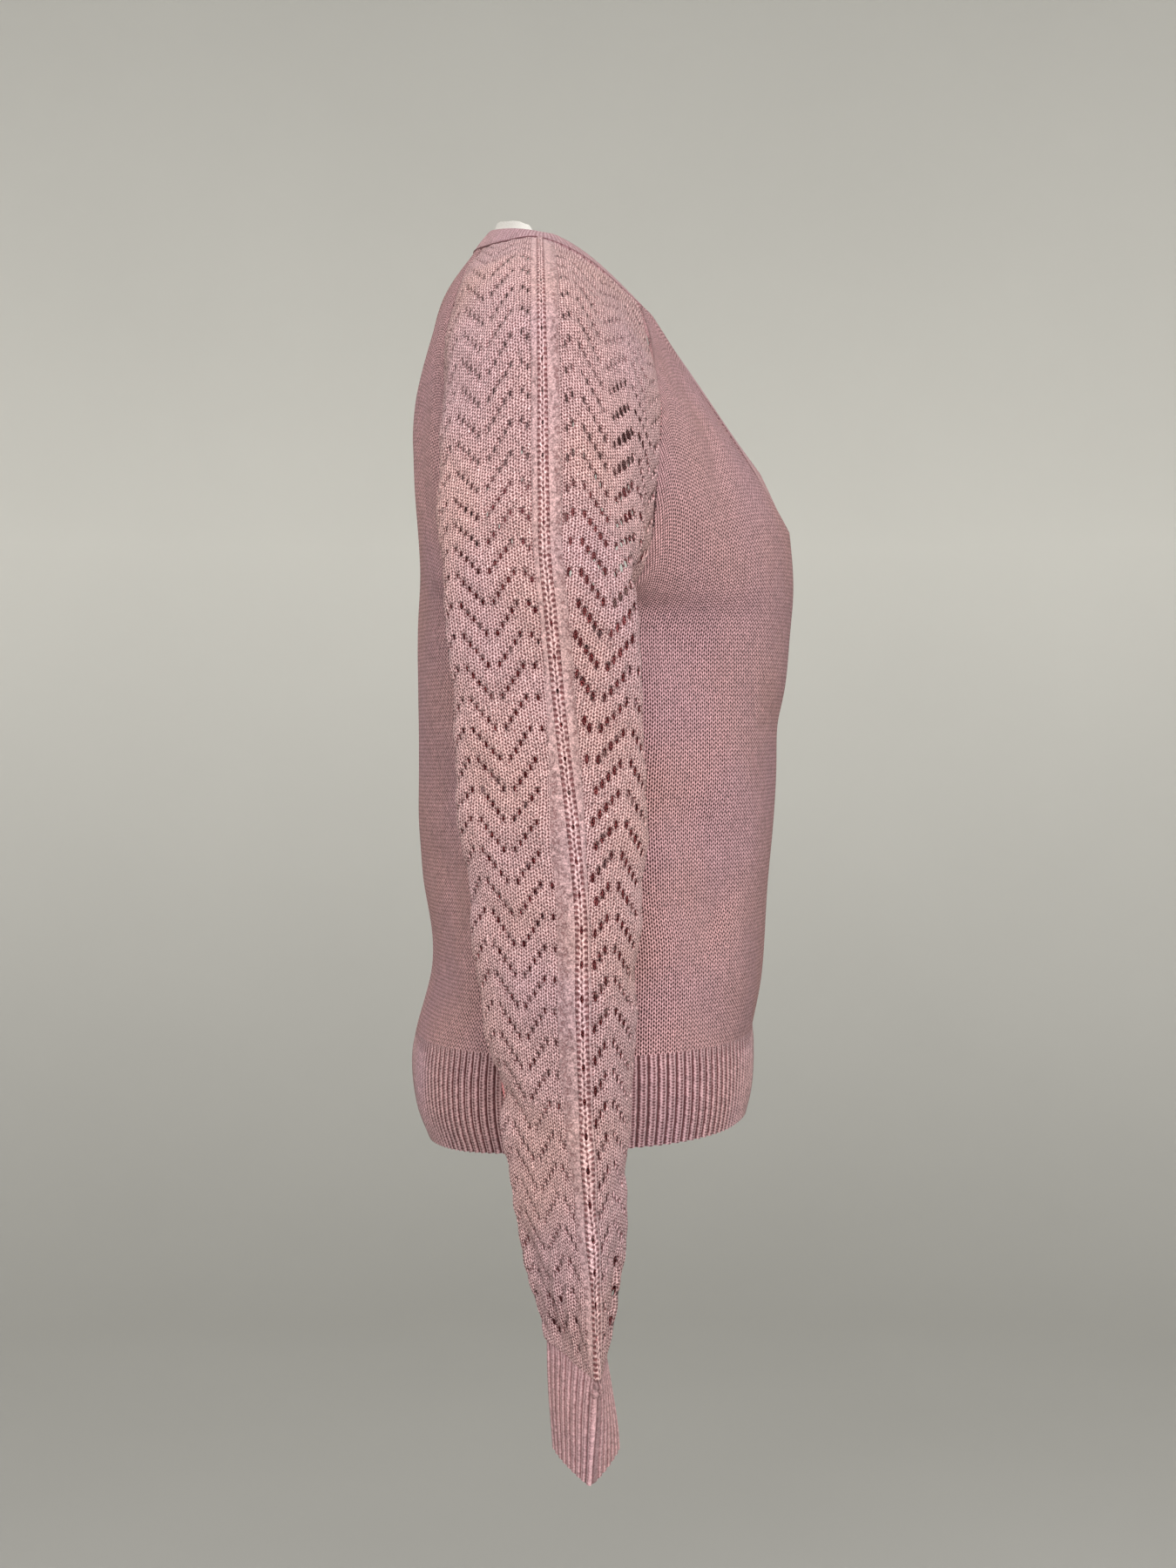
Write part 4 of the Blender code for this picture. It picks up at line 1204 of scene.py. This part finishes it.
class SweaterForm(bpy.types.PropertyGroup):
    body_wall: length_setting("Body wall", "Thickness of the plain knit", 0.002)
    lace_wall: length_setting("Lace wall", "Thickness of the lace", 0.0012)
    rib_wall: length_setting("Rib wall", "Thickness of the ribs between their grooves", 0.0022)
    tape_wall: length_setting("Tape wall", "Thickness of the neck tape", 0.0008)
    rib_height: length_setting("Rib height", "Half the height of a rib over its groove", 0.0009)
    lace_relief: length_setting(
        "Lace relief", "How far the lace stands out between its eyelets", 0.00032
    )
    chain_height: length_setting("Chain height", "How far the sleeve's chain stands out", 0.0010)
    seam_roll: length_setting("Seam roll", "How far edges turn in at the seams", 0.0012)
    gather_depth: length_setting("Gather depth", "Depth of the gathers above the cuffs", 0.0030)
    slack: length_setting("Slack", "Gentle unevenness of the cloth", 0.0009)
    fold_depth: number_setting(
        "Fold depth", "Strength of the folds left by wearing", 1.9, max=2, subtype="FACTOR"
    )


class SweaterYarn(bpy.types.PropertyGroup):
    knit: colour_setting("Plain knit", "Colour of the body's yarn", (0.370, 0.213, 0.217))
    lace: colour_setting("Lace", "Colour of the sleeves' yarn", (0.440, 0.282, 0.276))
    rib: colour_setting("Rib", "Colour of the ribs' yarn", (0.322, 0.196, 0.204))
    tape: colour_setting("Tape", "Colour of the neck tape", (0.86, 0.83, 0.78))
    stitch_height: length_setting("Stitch height", "How deep the stitches are modelled", 0.0013)
    # Painted shade and highlight: how strongly the yarn is painted darker between the stitches and
    # lighter on them.
    gap_shade: number_setting(
        "Gap depth", "How much darker the yarn is between stitches", 1.0, max=1, subtype="FACTOR"
    )


class SweaterStudio(bpy.types.PropertyGroup):
    key: number_setting(
        "Main light", "Power of the large soft light", 87.0, subtype="POWER", unit="POWER"
    )
    fill: number_setting("Fill", "Brightness of the room's own light", 0.86)
    wall: colour_setting("Backdrop", "Colour of the backdrop", (0.86, 0.85, 0.805))
    lens: number_setting(
        "Lens", "Focal length for a picture 24 mm high", 41.3333, min=1,
        subtype="DISTANCE_CAMERA", unit="CAMERA",
    )
    distance: length_setting(
        "Camera distance", "How far the camera stands from the wearer's middle", 1.86
    )


SETTINGS = {
    "sweater_stitch": SweaterStitch, "sweater_form": SweaterForm, "sweater_yarn": SweaterYarn,
    "sweater_studio": SweaterStudio,
}


def settings():
    return [getattr(bpy.context.scene, name) for name in SETTINGS]


# --- operators ---------------------------------------------------------------------------------


class SWEATER_OT_panels(bpy.types.Operator):
    """Knit the front and the back"""

    bl_idname = "sweater.panels"
    bl_label = "Front and back"

    def execute(self, context):
        stitch, form, _, _ = settings()
        panels = (("front", True, PANEL_FLAT, FRONT_AREA), ("back", False, BACK_FLAT, BACK_AREA))
        for node, front, flat, area in panels:
            surface, wall = panel_surface(front, stitch, form), form.body_wall
            piece = cloth(node + "_panel", node, surface, wall, "Pink stockinette")
        return {"FINISHED"}


class SWEATER_OT_sleeves(bpy.types.Operator):
    """Knit the lace sleeves, each in two pieces that meet beside its chain"""

    bl_idname = "sweater.sleeves"
    bl_label = "Lace sleeves"

    def execute(self, context):
        stitch, form, _, _ = settings()
        halves = (
            ("_front_lace", True, LACE_FRONT_FLAT, LACE_FRONT_AREA),
            ("_back_lace", False, LACE_BACK_FLAT, LACE_BACK_AREA),
        )
        for node in ("sleeve_right", "sleeve_left"):
            for name, before, flat, area in halves:
                surface = sleeve_piece(stitch, form, before, node == "sleeve_left")
                # Painted light: the inside of each sleeve, below its top, is painted lighter, and
                # redder by the finish, standing in for light that reaches it through the eyelets.
                painted_inside_light = 0.65 * smooth(90, 150, -surface[0][:, 2])
                wall, finish = form.lace_wall, "Pink lace"
                piece = cloth(node + name, node, surface, wall, finish, painted_inside_light)
        return {"FINISHED"}


class SWEATER_OT_cuffs(bpy.types.Operator):
    """Knit the two ribbed cuffs"""

    bl_idname = "sweater.cuffs"
    bl_label = "Cuffs"

    def execute(self, context):
        stitch, form, _, _ = settings()
        for node in ("cuff_right", "cuff_left"):
            surface, wall = cuff_surface(stitch, form, node == "cuff_left"), form.rib_wall
            piece = cloth(node + "_rib", node, surface, wall, "Pink cuff rib")
        return {"FINISHED"}


class SWEATER_OT_hem(bpy.types.Operator):
    """Knit the ribbed hem, front and back"""

    bl_idname = "sweater.hem"
    bl_label = "Hem"

    def execute(self, context):
        stitch, form, _, _ = settings()
        for node, flat in (("hem_front", HEM_FRONT_FLAT), ("hem_back", HEM_BACK_FLAT)):
            surface, wall = hem_surface(node == "hem_front", stitch, form), form.rib_wall
            piece = cloth(node + "_rib", node, surface, wall, "Pink rib")
        return {"FINISHED"}


class SWEATER_OT_neckband(bpy.types.Operator):
    """Knit the neckband and link it over its seam"""

    bl_idname = "sweater.neckband"
    bl_label = "Neckband"

    def execute(self, context):
        stitch, form, _, _ = settings()
        surface, wall = band_surface(stitch, form), form.rib_wall
        band = cloth("neckband_rib", "neckband", surface, wall, "Pink neck rib")
        points, faces, uv = linking_surface(stitch)
        mesh = bpy.data.meshes.new("neckband_linking")
        mesh.from_pydata((points * MM).tolist(), [], faces.tolist())
        mesh.uv_layers.new(name="Knit").data.foreach_set("uv", uv.astype(np.float32).ravel())
        mesh.shade_smooth()
        linking = put("neckband_linking", mesh, "Pink rib")
        return {"FINISHED"}


class SWEATER_OT_tape(bpy.types.Operator):
    """Sew the plain tape inside the back of the neck"""

    bl_idname = "sweater.tape"
    bl_label = "Neck tape"

    def execute(self, context):
        surface, wall = tape_surface(), settings()[1].tape_wall
        finish = "White twill tape"
        piece = cloth("neck_tape_twill", "neck_tape", surface, wall, finish)
        return {"FINISHED"}


# The studio, in metres. The bowl is a floor that curves up into a round wall.
FLOOR, BOWL_RADIUS, BOWL_CURVE, BOWL_SIDES = -1.32, 4.6, 1.6, 96
CAMERA_PLACE = (-0.015, -0.36)
# The large soft lights: place, size and share of the main light's power. They face LIT.
LIT = (0, 0, -0.35)
LIGHTS = {
    "soft light above": ((-2.6, -0.45, 0.85), 2.4, 1.0),
    "soft light behind": ((-0.6, 2.4, 1.2), 2.0, 0.25),
}


def backdrop_mesh():
    """The bowl: a profile of radius and height, turned round and closed in its middle."""
    turn = np.linspace(0, np.pi / 2, 25)
    across = BOWL_RADIUS - BOWL_CURVE + BOWL_CURVE * np.sin(turn)
    across = np.concatenate([[1.0, 2.0], across, [BOWL_RADIUS] * 3])
    height = FLOOR + BOWL_CURVE - BOWL_CURVE * np.cos(turn)
    height = np.concatenate([[FLOOR] * 2, height, [1.5, 3.0, 4.5]])
    angle = np.linspace(0, 2 * np.pi, BOWL_SIDES, endpoint=False)
    round_ = np.stack([np.outer(across, np.cos(angle)), np.outer(across, np.sin(angle))], -1)
    points = np.dstack([round_, np.repeat(height[:, None], BOWL_SIDES, 1)])
    at = np.arange(len(across) * BOWL_SIDES).reshape(-1, BOWL_SIDES)
    beside = np.roll(at, -1, axis=1)
    faces = np.stack([at[:-1], at[1:], beside[1:], beside[:-1]], -1).reshape(-1, 4).tolist()
    mesh = bpy.data.meshes.new("backdrop")
    mesh.from_pydata(points.reshape(-1, 3).tolist(), [], faces + [at[0].tolist()])
    mesh.flip_normals()
    mesh.shade_smooth()
    return mesh


class SWEATER_OT_studio(bpy.types.Operator):
    """Set up the pale bowl of floor and wall, the soft lights and the camera at the side"""

    bl_idname = "sweater.studio"
    bl_label = "Studio"

    def execute(self, context):
        studio, scene = settings()[3], context.scene
        mesh = backdrop_mesh()
        mesh.materials.append(backdrop_material(tuple(studio.wall)))
        bowl = bpy.data.objects.new("backdrop", mesh)
        scene.collection.objects.link(bowl)

        for name, (place, size, share) in LIGHTS.items():
            light = bpy.data.lights.new(name, "AREA")
            light.shape, light.size, light.energy = "DISK", size, share * studio.key
            lamp = bpy.data.objects.new(name, light)
            lamp.location = place
            away = Vector(place) - Vector(LIT)
            lamp.rotation_euler = away.to_track_quat("Z", "Y").to_euler()
            scene.collection.objects.link(lamp)
        scene.world = bpy.data.worlds.new("Room")
        scene.world.use_nodes = True
        backing = scene.world.node_tree.nodes["Background"]
        backing.inputs["Color"].default_value = (1.0, 0.985, 0.96, 1)
        backing.inputs["Strength"].default_value = studio.fill

        camera = bpy.data.cameras.new("camera at the right side")
        camera.sensor_fit, camera.sensor_height, camera.lens = "VERTICAL", 24.0, studio.lens
        camera.clip_end = 50
        view = bpy.data.objects.new(camera.name, camera)
        y, z = CAMERA_PLACE
        view.matrix_world = Matrix(
            ((0, 0, -1, -studio.distance), (-1, 0, 0, y), (0, 1, 0, z), (0, 0, 0, 1))
        )
        scene.collection.objects.link(view)
        scene.camera = view
        scene.view_settings.view_transform = "Standard"
        return {"FINISHED"}


STEPS = (
    SWEATER_OT_panels, SWEATER_OT_sleeves, SWEATER_OT_cuffs, SWEATER_OT_hem, SWEATER_OT_neckband,
    SWEATER_OT_tape, SWEATER_OT_studio,
)


class SWEATER_PT_sidebar(bpy.types.Panel):
    """The sweater's sizes and colours, and the steps that make it"""

    bl_idname = "SWEATER_PT_sidebar"
    bl_label = "Sweater"
    bl_space_type = "VIEW_3D"
    bl_region_type = "UI"
    bl_category = "Sweater"

    def draw(self, context):
        for owner in settings():
            box = self.layout.box()
            for name in owner.bl_rna.properties.keys():
                if name not in ("rna_type", "name"):
                    box.prop(owner, name)
        for step in STEPS:
            self.layout.operator(step.bl_idname)


def register():
    for each in (*SETTINGS.values(), *STEPS, SWEATER_PT_sidebar):
        bpy.utils.register_class(each)
    for name, kind in SETTINGS.items():
        setattr(bpy.types.Scene, name, bpy.props.PointerProperty(type=kind))


def unregister():
    for name in SETTINGS:
        delattr(bpy.types.Scene, name)
    for each in reversed((*SETTINGS.values(), *STEPS, SWEATER_PT_sidebar)):
        bpy.utils.unregister_class(each)


def main():
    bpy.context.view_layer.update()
    register()
    for step in STEPS:
        family, action = step.bl_idname.split(".")
        getattr(getattr(bpy.ops, family), action)()


if __name__ == "__main__":
    main()
